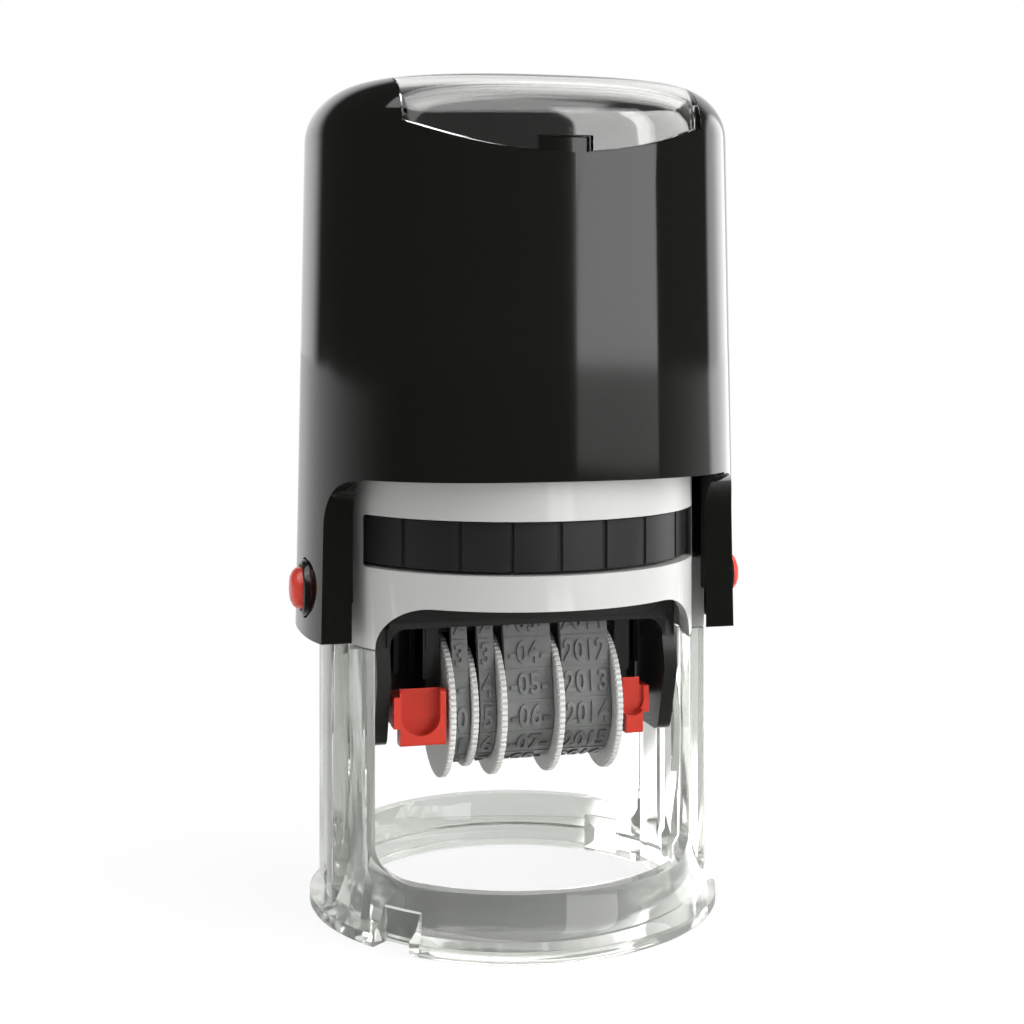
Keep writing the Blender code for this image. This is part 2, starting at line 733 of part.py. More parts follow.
def card_prism(name, grow, thickness, z_low, material=None):
    outline = rounded_rectangle(
        -CARD_HALF_WIDTH - grow,
        CARD_HALF_WIDTH + grow,
        -CARD_HALF_DEPTH - grow,
        CARD_HALF_DEPTH + grow,
        CARD_CORNER,
        CARD_CORNER,
    )
    return plate(name, [outline], thickness, material, Matrix.Translation((0, 0, z_low)))


def gap_cutter(name, sign, reach, low):
    """What is cut from the cap's foot between the arms, with a round corner where an arm meets the edge."""
    outline = [(sign * reach, low), (sign * ARM_HALF_DEPTH, low)]
    for y, z in arc((-ARM_HALF_DEPTH - ARM_FILLET, CAP_EDGE - ARM_FILLET), ARM_FILLET, 0, math.pi / 2, FILLET_STEPS):
        outline.append((-sign * y, z))
    outline.append((sign * reach, CAP_EDGE))
    return plate(name, [outline], 2 * reach, place=Matrix.Translation((-reach, 0, 0)) @ FACING_X)


def build_cap(material):
    """The black cap: a tapered oval shell whose two arms run down outside the posts."""
    cap = cap_body("cap_shell", 0, ARM_BOTTOM, 0, material)
    reach = CAP_FOOT_HALF_WIDTH + OVERRUN
    low = ARM_BOTTOM - OVERRUN
    channel_half_depth = ARM_HALF_DEPTH - ARM_WALL
    channel_half_width = CAP_FOOT_HALF_WIDTH - ARM_WALL
    lower_cavity = cap_body("lower_cavity", CAP_WALL, CAP_EDGE - GAP, CAP_CEILING)
    head_keep = box("head_keep", (-reach, -reach, CAP_HEAD_STEP), (reach, reach, CAP_TOP + OVERRUN))
    cut(lower_cavity, head_keep)
    head_cavity = cap_body("head_cavity", CAP_HEAD_WALL, CAP_EDGE + CAP_WALL, CAP_CEILING)
    recess = cap_body("index_floor", INDEX_THICKNESS + GAP, CAP_EDGE, INDEX_THICKNESS + GAP)
    index_recess = index_prism("index_recess", GAP)
    cut(index_recess, recess)
    bosses = [
        rod_x(
            f"pivot_boss_{side}",
            BOSS_RADIUS,
            sign * (FLARE_RADIUS + GAP),
            sign * (CAP_FOOT_HALF_WIDTH - ARM_WALL / 2),
            0,
            PIVOT_HEIGHT,
            SMALL_STEPS,
        )
        for side, sign in (("left", -1), ("right", 1))
    ]
    cut(
        cap,
        lower_cavity,
        head_cavity,
        gap_cutter("front_gap", -1, reach, low),
        gap_cutter("rear_gap", 1, reach, low),
        box("between_arms", (-ARM_INNER, -reach, low), (ARM_INNER, reach, CAP_EDGE + GAP)),
        box(
            "arm_channel",
            (-channel_half_width, -channel_half_depth, low),
            (channel_half_width, channel_half_depth, CAP_EDGE + GAP),
        ),
        turned(
            "flare_relief",
            [
                (0, low),
                (FLARE_RADIUS + GAP, low),
                (FLARE_RADIUS + GAP, FOOT_WALL_HEIGHT + TRAVEL + GAP),
                (0, FOOT_WALL_HEIGHT + TRAVEL + GAP),
            ],
            ROUND_STEPS,
        ),
        index_recess,
        card_prism(
            "card_pocket", GAP, CARD_DROP, CAP_TOP - CARD_DROP - CARD_THICKNESS - GAP
        ),
    )
    fuse(cap, *bosses)
    for side, sign in (("left", -1), ("right", 1)):
        start = sign * (POST_OUTER - OVERRUN)
        cut(
            cap,
            rod_x(
                f"pivot_bore_{side}",
                PIN_RADIUS + RUN_CLEARANCE,
                start,
                sign * (PIN_END + GAP),
                0,
                PIVOT_HEIGHT,
                PIN_STEPS,
            ),
            rod_x(
                f"button_bore_{side}",
                BUTTON_RADIUS + RUN_CLEARANCE,
                start,
                sign * (CAP_FOOT_HALF_WIDTH + OVERRUN),
                -BUTTON_FORWARD,
                BUTTON_HEIGHT,
                SMALL_STEPS,
            ),
            rod_x(
                f"bezel_seat_{side}",
                BEZEL_RADIUS + GAP,
                sign * bezel_seat(),
                sign * (CAP_FOOT_HALF_WIDTH + OVERRUN),
                -BUTTON_FORWARD,
                BUTTON_HEIGHT,
                SMALL_STEPS,
            ),
        )
    return cap


def build_index(window_material, card_material):
    """The clear index window over the cap's top and the card that it holds."""
    window = cap_body("index_window", 0, CAP_HEAD_STEP, 0, window_material)
    inner = cap_body("index_inner", INDEX_THICKNESS, CAP_EDGE, INDEX_THICKNESS)
    boolean(window, index_prism("index_shape", 0), "INTERSECT")
    reach = CAP_FOOT_HALF_DEPTH + OVERRUN
    cut(
        window,
        inner,
        box(
            "finger_notch",
            (-FINGER_NOTCH_HALF_WIDTH, -reach, CAP_HEAD_STEP - OVERRUN),
            (FINGER_NOTCH_HALF_WIDTH, 0, FINGER_NOTCH_TOP),
        ),
    )
    card = card_prism("index_card", 0, CARD_THICKNESS, CAP_TOP - CARD_DROP - CARD_THICKNESS, card_material)
    return window, card


def bezel_seat():
    """How far out the flat seat of a button's ring lies: where the arm is narrowest under the ring."""
    half_width, half_depth = cap_section(BUTTON_HEIGHT + BEZEL_RADIUS, 0)
    front = (BUTTON_FORWARD + BEZEL_RADIUS) / half_depth
    return half_width * (1 - front**CAP_POWER) ** (1 / CAP_POWER)


def build_button(side, sign, button_material, bezel_material):
    """One red lock button in its black ring on the arm's outside."""
    bezel_low = bezel_seat() + GAP
    bezel = turned(
        f"button_bezel_{side}",
        [
            (BEZEL_RADIUS - BUTTON_DOME, bezel_low + BEZEL_STAND),
            (BEZEL_RADIUS, bezel_low + BEZEL_STAND - BUTTON_DOME),
            (BEZEL_RADIUS, bezel_low),
            (BUTTON_RADIUS + RUN_CLEARANCE, bezel_low),
            (BUTTON_RADIUS + RUN_CLEARANCE, bezel_low + BEZEL_STAND),
        ],
        SMALL_STEPS,
        bezel_material,
    )
    button = turned(
        f"lock_button_{side}",
        [
            (0, BUTTON_OUTER),
            (BUTTON_RADIUS / 2, BUTTON_OUTER - BUTTON_CROWN),
            (BUTTON_RADIUS - BUTTON_DOME, BUTTON_OUTER - BUTTON_DOME / 2),
            (BUTTON_RADIUS, BUTTON_OUTER - 2 * BUTTON_DOME),
            (BUTTON_RADIUS, BUTTON_INNER),
            (0, BUTTON_INNER),
        ],
        SMALL_STEPS,
        button_material,
    )
    for piece in (bezel, button):
        piece.rotation_euler = (0, sign * math.pi / 2, 0)
        piece.location = (0, -BUTTON_FORWARD, BUTTON_HEIGHT)
    return bezel, button


def build_spring(wire_material, guide_material):
    """The return spring between the frame's roof and the cap's ceiling, and the tube that centres it."""
    curve = bpy.data.curves.new("return_spring", "CURVE")
    curve.dimensions = "3D"
    curve.fill_mode = "FULL"
    curve.bevel_depth = SPRING_WIRE
    curve.bevel_resolution = 1
    curve.use_fill_caps = True
    low = FRAME_TOP + GAP + SPRING_WIRE
    high = CAP_TOP - CAP_CEILING - GAP - SPRING_WIRE
    count = SPRING_TURNS * SPRING_STEPS
    points = []
    for i in range(count + 1):
        turn = 2 * math.pi * i / SPRING_STEPS
        points.append(
            (
                SPRING_RADIUS * math.cos(turn),
                SPRING_RADIUS * math.sin(turn),
                low + (high - low) * i / count,
            )
        )
    spline = curve.splines.new("POLY")
    spline.points.add(len(points) - 1)
    for point, place in zip(spline.points, points):
        point.co = (*place, 1)
    least = (high - low) / SPRING_TURNS - 2 * SPRING_WIRE
    print(f"return_spring: least gap between turns {1000 * least:.2f} mm")
    curve.materials.append(wire_material)
    spring = bpy.data.objects.new("return_spring", curve)
    parts.objects.link(spring)
    guide = turned(
        "spring_guide",
        [
            (GUIDE_RADIUS, FRAME_TOP + GAP + GUIDE_HEIGHT),
            (GUIDE_RADIUS, FRAME_TOP + GAP),
            (GUIDE_BORE, FRAME_TOP + GAP),
            (GUIDE_BORE, FRAME_TOP + GAP + GUIDE_HEIGHT),
        ],
        SMALL_STEPS,
        guide_material,
    )
    return spring, guide


def wheel_layout():
    """Where each wheel's drum starts and ends along X, and where its discs stand."""
    layout = {}
    x = FIRST_DISC
    for name, width in (
        ("day_tens", DAY_DRUM_WIDTH),
        ("day_units", DAY_DRUM_WIDTH),
        ("month", MONTH_DRUM_WIDTH),
        ("year", YEAR_DRUM_WIDTH),
    ):
        if name == "day_tens":
            drum = (x + DISC_THICKNESS, x + DISC_THICKNESS + width)
            discs = [(x, DISC_RADIUS), (drum[1], DIVIDER_RADIUS)]
        else:
            drum = (x, x + width)
            discs = [(drum[1], DISC_RADIUS)]
        layout[name] = (drum, discs)
        x = drum[1] + DISC_THICKNESS + WHEEL_GAP
    return layout, x - WHEEL_GAP


def toothed(radius):
    points = []
    for i in range(2 * DISC_TEETH):
        turn = math.pi * (i + 0.5) / DISC_TEETH
        reach = radius - TOOTH_DEPTH * (i % 2)
        points.append((reach * math.cos(turn), reach * math.sin(turn)))
    return points


def build_wheel(name, drum, discs, material):
    """One date wheel: a drum on the axle with its toothed thumb disc."""
    bore = AXLE_RADIUS + RUN_CLEARANCE
    lap = DISC_THICKNESS / 2
    start = drum[0] - (lap if discs[0][0] < drum[0] else 0)
    wheel = turned(
        f"{name}_wheel",
        [(DRUM_RADIUS, drum[1] + lap), (DRUM_RADIUS, start), (bore, start), (bore, drum[1] + lap)],
        ROUND_STEPS // 2,
        material,
        along_x=True,
        location=(0, 0, AXLE_HEIGHT),
    )
    for i, (x, radius) in enumerate(discs):
        recess = circle(HUB_RECESS_RADIUS, SMALL_STEPS, math.pi / SMALL_STEPS / 2)
        mesh = plate_mesh(f"{name}_disc_{i}", [toothed(radius), recess], DISC_THICKNESS)
        mesh.transform(Matrix.Translation((x, 0, AXLE_HEIGHT)) @ FACING_X)
        fuse(wheel, add_object(f"{name}_disc_{i}", mesh))
    return wheel


def band_outline(inset):
    """A flat belt: half round under the axle, leaning sides and a flat printing end at the die's level."""
    radius = BAND_RADIUS - inset
    half_depth = BAND_TOP_HALF_DEPTH - inset
    corner = BAND_CORNER - inset * BAND_CORNER / (2 * BAND_THICKNESS)
    top = FACE_HEIGHT - inset
    points = arc((0, AXLE_HEIGHT), radius, -math.pi, 0, ROUND_STEPS // 3)
    points += arc((half_depth - corner, top - corner), corner, 0, math.pi / 2, 2)
    points += arc((corner - half_depth, top - corner), corner, math.pi / 2, math.pi, 2)
    return points


def build_band(name, drum, material):
    low = drum[0] + BAND_SIDE_GAP
    high = drum[1] - BAND_SIDE_GAP
    return plate(
        f"{name}_band",
        [band_outline(0), band_outline(BAND_THICKNESS)],
        high - low,
        material,
        Matrix.Translation((low, 0, 0)) @ FACING_X,
    )


def web_outline():
    """The upright plate that stands out from each cheek towards the carrier's leg."""
    return [
        (WEB_NEAR, WEB_LOW),
        (WEB_NEAR + WEB_THICKNESS, WEB_LOW),
        (WEB_NEAR + WEB_THICKNESS, NOSE_HIGH - GAP),
        (WEB_NEAR, NOSE_HIGH - GAP),
    ]


def build_date_frame(left, right, material):
    """Two cheeks that carry the axle, joined by the nose bar inside the bands' printing end."""
    reach = LEG_INNER - GAP
    webs = [
        plate(f"web_{side}", [web_outline()], ends[1] - ends[0], place=Matrix.Translation((ends[0], 0, 0)) @ FACING_X)
        for side, ends in (
            ("left", (-reach, left - CHEEK_THICKNESS / 2)),
            ("right", (right + CHEEK_THICKNESS / 2, reach)),
        )
    ]
    outline = [(CHEEK_HALF_DEPTH, NOSE_HIGH), (-CHEEK_HALF_DEPTH, NOSE_HIGH)]
    outline += arc((0, AXLE_HEIGHT), CHEEK_BOTTOM_RADIUS, math.pi, 2 * math.pi, 2 * FILLET_STEPS)
    frame = plate(
        "date_frame",
        [outline],
        CHEEK_THICKNESS,
        material,
        Matrix.Translation((left - CHEEK_THICKNESS, 0, 0)) @ FACING_X,
    )
    fuse(
        frame,
        plate("right_cheek", [outline], CHEEK_THICKNESS, place=Matrix.Translation((right, 0, 0)) @ FACING_X),
        box(
            "nose_bar",
            (left - CHEEK_THICKNESS / 2, GAP - NOSE_HALF_DEPTH, NOSE_HIGH + GAP - NOSE_DEPTH),
            (right + CHEEK_THICKNESS / 2, NOSE_HALF_DEPTH - GAP, NOSE_HIGH - GAP),
        ),
        *webs,
        box(
            "nose_tip",
            (left + GAP, -NOSE_HALF_DEPTH, NOSE_HIGH - NOSE_DEPTH),
            (right - GAP, NOSE_HALF_DEPTH, FACE_HEIGHT - BAND_THICKNESS - GAP),
        ),
    )
    cut(
        frame,
        rod_x(
            "axle_bore",
            AXLE_RADIUS + RUN_CLEARANCE,
            left - CHEEK_THICKNESS - OVERRUN,
            right + CHEEK_THICKNESS + OVERRUN,
            0,
            AXLE_HEIGHT,
            PIN_STEPS,
        ),
    )
    return frame


def build_axle(left, right, material):
    inner = left - CHEEK_THICKNESS - GAP
    outer = right + CHEEK_THICKNESS + GAP
    profile = [
        (0, outer + AXLE_HEAD),
        (AXLE_HEAD_RADIUS, outer + AXLE_HEAD),
        (AXLE_HEAD_RADIUS, outer),
        (AXLE_RADIUS, outer),
        (AXLE_RADIUS, inner),
        (AXLE_HEAD_RADIUS, inner),
        (AXLE_HEAD_RADIUS, inner - AXLE_HEAD),
        (0, inner - AXLE_HEAD),
    ]
    return turned("wheel_axle", profile, PIN_STEPS, material, along_x=True, location=(0, 0, AXLE_HEIGHT))


def build_die(left, right, die_material, backing_material):
    """The rubber text die and the backing plate it is glued to, with the slot the bands print through."""
    slot = rounded_rectangle(
        left,
        right,
        -BAND_TOP_HALF_DEPTH - WALL / 2,
        BAND_TOP_HALF_DEPTH + WALL / 2,
        BAND_CORNER,
        BAND_CORNER,
        2,
    )
    disc = circle(DIE_RADIUS, ROUND_STEPS)
    die = plate("text_die", [disc, slot], DIE_THICKNESS, die_material, Matrix.Translation((0, 0, DIE_LOW)))
    backing = plate(
        "die_backing",
        [disc, slot],
        BACKING_THICKNESS,
        backing_material,
        Matrix.Translation((0, 0, BACKING_LOW)),
    )
    cut(
        backing,
        turned(
            "backing_step",
            [
                (BACKING_FOOT_RADIUS, BACKING_LOW - OVERRUN),
                (DIE_RADIUS + OVERRUN, BACKING_LOW - OVERRUN),
                (DIE_RADIUS + OVERRUN, BACKING_LOW + BACKING_THICKNESS - BACKING_RIM),
                (BACKING_FOOT_RADIUS, BACKING_LOW + BACKING_THICKNESS - BACKING_RIM),
            ],
            ROUND_STEPS,
        ),
    )
    return die, backing, slot


def leg_outline():
    return [
        (LEG_TOP_HALF_DEPTH, LEG_TOP),
        (-LEG_TOP_HALF_DEPTH, LEG_TOP),
        (-LEG_SHOULDER_HALF_DEPTH, LEG_SHOULDER),
        (-LEG_KNEE_HALF_DEPTH, LEG_KNEE),
        (-LEG_BOTTOM_HALF_DEPTH, LEG_BOTTOM),
        (LEG_BOTTOM_HALF_DEPTH, LEG_BOTTOM),
        (LEG_KNEE_HALF_DEPTH, LEG_KNEE),
        (LEG_SHOULDER_HALF_DEPTH, LEG_SHOULDER),
    ]


def build_yoke(slot, material):
    """The black plate carrier, a bridge with a hanging edge at front and rear and a leg at each side on the pins."""
    half = LEG_OUTER - GAP
    yoke = plate(
        "plate_yoke",
        [rounded_rectangle(-half, half, -HOOD_HALF_DEPTH, HOOD_HALF_DEPTH, HOOD_CORNER, HOOD_CORNER), slot],
        CARRIER_THICKNESS,
        material,
        Matrix.Translation((0, 0, CARRIER_LOW)),
    )
    for side, sign in (("front", -1), ("rear", 1)):
        ends = sorted((sign * (HOOD_HALF_DEPTH - HOOD_WALL), sign * (HOOD_HALF_DEPTH - WELD)))
        fuse(
            yoke,
            box(
                f"hood_edge_{side}",
                (-LEG_INNER - GAP, ends[0], CARRIER_LOW - HOOD_DROP),
                (LEG_INNER + GAP, ends[1], CARRIER_LOW + CARRIER_THICKNESS / 2),
            ),
        )
    fuse(yoke, *both_sides("leg", leg_outline(), LEG_INNER, LEG_OUTER))
    for side, sign in (("left", -1), ("right", 1)):
        for kind, radius, height in (
            ("trunnion", PIN_RADIUS, PIVOT_HEIGHT),
            ("cam", CAM_PIN_RADIUS, PIVOT_HEIGHT - CAM_PIN_REACH),
        ):
            cut(
                yoke,
                rod_x(
                    f"{kind}_hole_{side}",
                    radius + GAP,
                    sign * (LEG_INNER - GAP),
                    sign * (LEG_OUTER + OVERRUN),
                    0,
                    height,
                    PIN_STEPS,
                ),
            )
    return yoke


def build_pins(side, sign, material):
    trunnion = rod_x(
        f"trunnion_pin_{side}",
        PIN_RADIUS,
        sign * LEG_INNER,
        sign * PIN_END,
        0,
        PIVOT_HEIGHT,
        PIN_STEPS,
        material,
    )
    cam = rod_x(
        f"cam_pin_{side}",
        CAM_PIN_RADIUS,
        sign * LEG_INNER,
        sign * CAM_PIN_END,
        0,
        PIVOT_HEIGHT - CAM_PIN_REACH,
        PIN_STEPS,
        material,
    )
    return trunnion, cam


def build_clip(side, sign, cheek_face, disc_face, outer, material):
    """A red clip beside the wheels: a front tab on an arm that swings on a pin at its rear."""
    tab = [
        (-CLIP_FRONT, CLIP_LOW),
        (-CLIP_FRONT + CLIP_PLATE, CLIP_LOW),
        (-CLIP_FRONT + CLIP_PLATE, CLIP_HIGH),
        (-CLIP_FRONT, CLIP_HIGH - GAP),
    ]
    arm = [
        (-CLIP_FRONT + CLIP_PLATE / 2, CLIP_ARM_LOW),
        (-CLIP_BACK, CLIP_ARM_LOW),
        (-CLIP_BACK, CLIP_HIGH - CLIP_PLATE / 2),
        (-CLIP_FRONT + CLIP_PLATE / 2, CLIP_HIGH - CLIP_PLATE / 2),
    ]
    tab_inner = abs(disc_face) + CLIP_PLATE_GAP
    arm_inner = abs(cheek_face) + GAP
    ends = sorted((sign * tab_inner, sign * outer))
    clip = plate(
        f"red_clip_{side}", [tab], ends[1] - ends[0], material, Matrix.Translation((ends[0], 0, 0)) @ FACING_X
    )
    ends = sorted((sign * arm_inner, sign * outer))
    fuse(
        clip,
        plate(
            f"clip_arm_{side}",
            [arm],
            ends[1] - ends[0],
            place=Matrix.Translation((ends[0], 0, 0)) @ FACING_X,
        ),
    )
    return clip


def main():
    global parts, cutters
    clear_scene()
    parts = make_collection("date_stamp")
    cutters = make_collection("cutters")
    clear = plastic("clear_plastic", (0.82, 0.83, 0.81), 0.08, alpha=0.35)
    silver = plastic("silver_plastic", (0.5, 0.5, 0.48), 0.45, 0.2)
    black = plastic("black_plastic", (0.012, 0.012, 0.011), 0.12)
    dark = plastic("matte_black_plastic", (0.02, 0.02, 0.02), 0.5)
    red = plastic("red_plastic", (0.62, 0.045, 0.02), 0.3)
    rubber = plastic("band_rubber", (0.16, 0.16, 0.155), 0.6)
    wheel_grey = plastic("wheel_plastic", (0.45, 0.45, 0.43), 0.5)
    felt = plastic("inked_felt", (0.015, 0.012, 0.04), 0.95)
    steel = plastic("steel", (0.6, 0.6, 0.6), 0.3, 1.0)
    paper = plastic("card", (0.85, 0.84, 0.8), 0.8)

    cap_carrier = carrier_empty("cap_slide_axis", (0, 0, PIVOT_HEIGHT))
    unit_carrier = carrier_empty("print_unit_axis", (0, 0, PIVOT_HEIGHT))
    wheel_carrier = carrier_empty("wheel_axis", (0, 0, AXLE_HEIGHT))
    tray_carrier = carrier_empty("tray_slide_axis", (0, 0, PAD_SLOT_BOTTOM))
    window_carrier = carrier_empty("window_lift_axis", (0, 0, CAP_TOP))
    clip_carrier = carrier_empty("clip_axis", (0, -CLIP_BACK - CLIP_PLATE / 2, CLIP_HIGH - CLIP_PLATE))

    build_base(clear)
    build_frame(silver)
    tray, pad = build_tray(dark, felt)
    cap = build_cap(black)
    window, card = build_index(clear, paper)
    spring, guide = build_spring(steel, dark)

    layout, last = wheel_layout()
    left = FIRST_DISC - CHEEK_GAP
    right = last + CHEEK_GAP
    date_frame = build_date_frame(left, right, dark)
    axle = build_axle(left, right, steel)
    die, backing, slot = build_die(left + GAP, right - GAP, rubber, dark)
    yoke = build_yoke(slot, black)
    carry(unit_carrier, date_frame, axle, die, backing, yoke)
    for name, (drum, discs) in layout.items():
        carry(wheel_carrier, build_wheel(name, drum, discs, wheel_grey))
        carry(unit_carrier, build_band(name, drum, rubber))

    cheek_faces = (left - CHEEK_THICKNESS, right + CHEEK_THICKNESS)
    for side, sign, cheek_face, disc_face, clip_outer in (
        ("left", -1, cheek_faces[0], FIRST_DISC, LEG_INNER - GAP),
        ("right", 1, cheek_faces[1], last, cheek_faces[1] + CLIP_RIGHT_ARM),
    ):
        bezel, button = build_button(side, sign, red, dark)
        trunnion, cam = build_pins(side, sign, steel)
        clip = build_clip(side, sign, cheek_face, disc_face, clip_outer, red)
        carry(cap_carrier, bezel, button)
        carry(unit_carrier, trunnion, cam)
        carry(clip_carrier, clip)
    carry(cap_carrier, cap, card, spring)
    carry(window_carrier, window)
    carry(tray_carrier, tray, pad)


main()
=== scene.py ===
"""The look of a self-inking round date stamp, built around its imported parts.

Sizes are written in millimetres and scaled by MM. The stamp stands on the desk at z = 0 with its front towards -Y.
"""

import math

import bmesh
import bpy
from mathutils import Matrix, Vector


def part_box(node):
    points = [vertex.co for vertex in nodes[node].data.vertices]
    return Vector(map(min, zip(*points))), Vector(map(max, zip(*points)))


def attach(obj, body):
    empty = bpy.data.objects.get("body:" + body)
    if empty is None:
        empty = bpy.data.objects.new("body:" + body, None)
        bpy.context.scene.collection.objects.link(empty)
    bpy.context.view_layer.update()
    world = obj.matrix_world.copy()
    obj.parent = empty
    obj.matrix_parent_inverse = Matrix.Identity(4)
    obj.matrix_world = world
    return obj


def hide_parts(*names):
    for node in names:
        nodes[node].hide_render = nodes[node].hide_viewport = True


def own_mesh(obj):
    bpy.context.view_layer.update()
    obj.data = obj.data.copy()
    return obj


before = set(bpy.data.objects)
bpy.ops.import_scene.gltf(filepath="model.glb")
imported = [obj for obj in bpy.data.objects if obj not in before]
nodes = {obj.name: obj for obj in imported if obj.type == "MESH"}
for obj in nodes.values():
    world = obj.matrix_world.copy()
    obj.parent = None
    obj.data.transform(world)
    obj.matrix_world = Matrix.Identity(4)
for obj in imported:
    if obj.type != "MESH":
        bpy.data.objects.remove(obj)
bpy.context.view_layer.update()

MM = 0.001
scene = bpy.context.scene
scene.view_settings.view_transform = "Standard"


# Studio. The camera stands a third of a metre away, a little below the cap's top and turned to the stamp's left,
# with its lens shifted down instead of tilted. The room is white to the camera; only reflections see its dark
# front, its bright rear, side and canopy, and the tall soft box.
CAMERA_TURN = math.radians(14.5)
CAMERA_AWAY = 322.1
CAMERA_HEIGHT = 103.8
SENSOR = 36.0
FOCAL_PIXELS = 1783.0
FRAME_PIXELS = 1024
HORIZON_PIXEL = 318.0
MIDDLE_PIXEL = 512.6

camera = bpy.data.objects.new("camera", bpy.data.cameras.new("camera"))
scene.collection.objects.link(camera)
camera.location = (
    -CAMERA_AWAY * math.sin(CAMERA_TURN) * MM,
    -CAMERA_AWAY * math.cos(CAMERA_TURN) * MM,
    CAMERA_HEIGHT * MM,
)
camera.rotation_euler = (math.pi / 2, 0, -CAMERA_TURN)
camera.data.sensor_width = SENSOR
camera.data.lens = SENSOR * FOCAL_PIXELS / FRAME_PIXELS
camera.data.shift_x = (FRAME_PIXELS / 2 - MIDDLE_PIXEL) / FRAME_PIXELS
camera.data.shift_y = (HORIZON_PIXEL - FRAME_PIXELS / 2) / FRAME_PIXELS
camera.data.clip_start = 0.01
scene.camera = camera


def add_node(tree, kind, settings=None, **inputs):
    """A shader node with its settings and its inputs, each a value or another node's output."""
    item = tree.nodes.new("ShaderNode" + kind)
    for name, value in (settings or {}).items():
        setattr(item, name, value)
    for name, value in inputs.items():
        target = item.inputs[name.replace("_", " ")]
        if isinstance(value, bpy.types.NodeSocket):
            tree.links.new(value, target)
        else:
            target.default_value = value
    return item


WHITE = (1.0, 1.0, 1.0, 1.0)
ROOM_LEVEL = 0.34
DARK_LEVEL = 0.05
REAR_TURN = 5
REAR_SPAN = (0.6, 0.8)
SIDE_TURN = 46
SIDE_SPAN = (0.915, 0.955)
SIDE_LEVEL = 2.2
CANOPY_LEVEL = 2.0
CANOPY_HEIGHT_SPAN = (0.53, 0.56)
CANOPY_ACROSS_SPAN = (0.5, 0.6)
CANOPY_DEPTH_SPAN = (-0.34, -0.28)
CLEAR_SPAN = (0.1, 0.75)
CLEAR_LEVEL = 0.3

world = bpy.data.worlds.new("studio")
scene.world = world
world.use_nodes = True
tree = world.node_tree
tree.nodes.clear()
direction = add_node(tree, "TexCoord").outputs["Generated"]


def ramp(tree, value, start, end, low, high):
    """A smooth step from low to high while the value goes from start to end."""
    item = add_node(tree, "MapRange", {"interpolation_type": "SMOOTHSTEP"}, Value=value)
    for name, level in (("From Min", start), ("From Max", end), ("To Min", low), ("To Max", high)):
        item.inputs[name].default_value = level
    return item.outputs["Result"]


def facing(tree, heading, turn):
    """How far a direction points away from the camera, with the view turned towards the right by an angle."""
    item = add_node(tree, "VectorMath", {"operation": "DOT_PRODUCT"}, Vector=heading)
    angle = CAMERA_TURN + math.radians(turn)
    item.inputs[1].default_value = (math.sin(angle), math.cos(angle), 0)
    return item.outputs["Value"]


def combine(tree, operation, *values):
    """The output of a maths node on its values, each a number or another node's output."""
    item = add_node(tree, "Math", {"operation": operation})
    for value, socket in zip(values, item.inputs):
        if isinstance(value, bpy.types.NodeSocket):
            tree.links.new(value, socket)
        else:
            socket.default_value = value
    return item.outputs[0]


rays = add_node(tree, "LightPath").outputs
behind = ramp(tree, facing(tree, direction, REAR_TURN), *REAR_SPAN, DARK_LEVEL, 1.0)
beside = ramp(tree, facing(tree, direction, SIDE_TURN), *SIDE_SPAN, 0.0, SIDE_LEVEL)
height = add_node(tree, "SeparateXYZ", Vector=direction).outputs["Z"]
across = combine(tree, "ABSOLUTE", facing(tree, direction, 90))
depth = facing(tree, direction, 0)
canopy = ramp(tree, height, *CANOPY_HEIGHT_SPAN, 0.0, CANOPY_LEVEL)
for value, span in ((across, CANOPY_ACROSS_SPAN), (depth, CANOPY_DEPTH_SPAN)):
    canopy = combine(tree, "MULTIPLY", canopy, ramp(tree, value, *span, 1.0, 0.0))
mirrored = combine(tree, "ADD", combine(tree, "ADD", behind, beside), canopy)
bent = combine(tree, "ADD", ramp(tree, depth, *CLEAR_SPAN, CLEAR_LEVEL, 1.0), canopy)
lit = add_node(tree, "MixRGB", Fac=rays["Is Glossy Ray"], Color1=(ROOM_LEVEL,) * 3 + (1,), Color2=mirrored)
passed = add_node(tree, "MixRGB", Fac=rays["Is Transmission Ray"], Color1=lit.outputs[0], Color2=bent)
shown = add_node(tree, "MixRGB", Fac=rays["Is Camera Ray"], Color1=passed.outputs[0], Color2=WHITE)
background = add_node(tree, "Background", Color=shown.outputs[0], Strength=1.0)
output = add_node(tree, "OutputWorld")
tree.links.new(background.outputs[0], output.inputs["Surface"])


def soft_box(name, turn, height, away, width, tall, power, aim=70.0, mirrored=True):
    """A rectangular lamp on a stand, facing the stamp; turn is counted from the front towards +X."""
    lamp = bpy.data.lights.new(name, "AREA")
    lamp.shape = "RECTANGLE"
    lamp.size = width * MM
    lamp.size_y = tall * MM
    lamp.energy = power
    item = bpy.data.objects.new(name, lamp)
    scene.collection.objects.link(item)
    item.visible_glossy = mirrored
    angle = math.radians(turn)
    item.location = Vector((math.sin(angle) * away, -math.cos(angle) * away, height)) * MM
    towards = Vector((0, 0, aim)) * MM - item.location
    item.rotation_euler = towards.to_track_quat("-Z", "Y").to_euler()


soft_box("tall_box", 33.5, 570, 1100, 640, 980, 7.0, aim=570)
soft_box("tall_box_skirt", 33.5, 40, 1100, 640, 80, 0.17, aim=40)
soft_box("right_fill", 62, 420, 900, 700, 700, 9.0, mirrored=False)
soft_box("left_fill", -75, 500, 900, 700, 700, 2.2, mirrored=False)
soft_box("top_box", 15, 1150, 60, 2600, 700, 16.0)


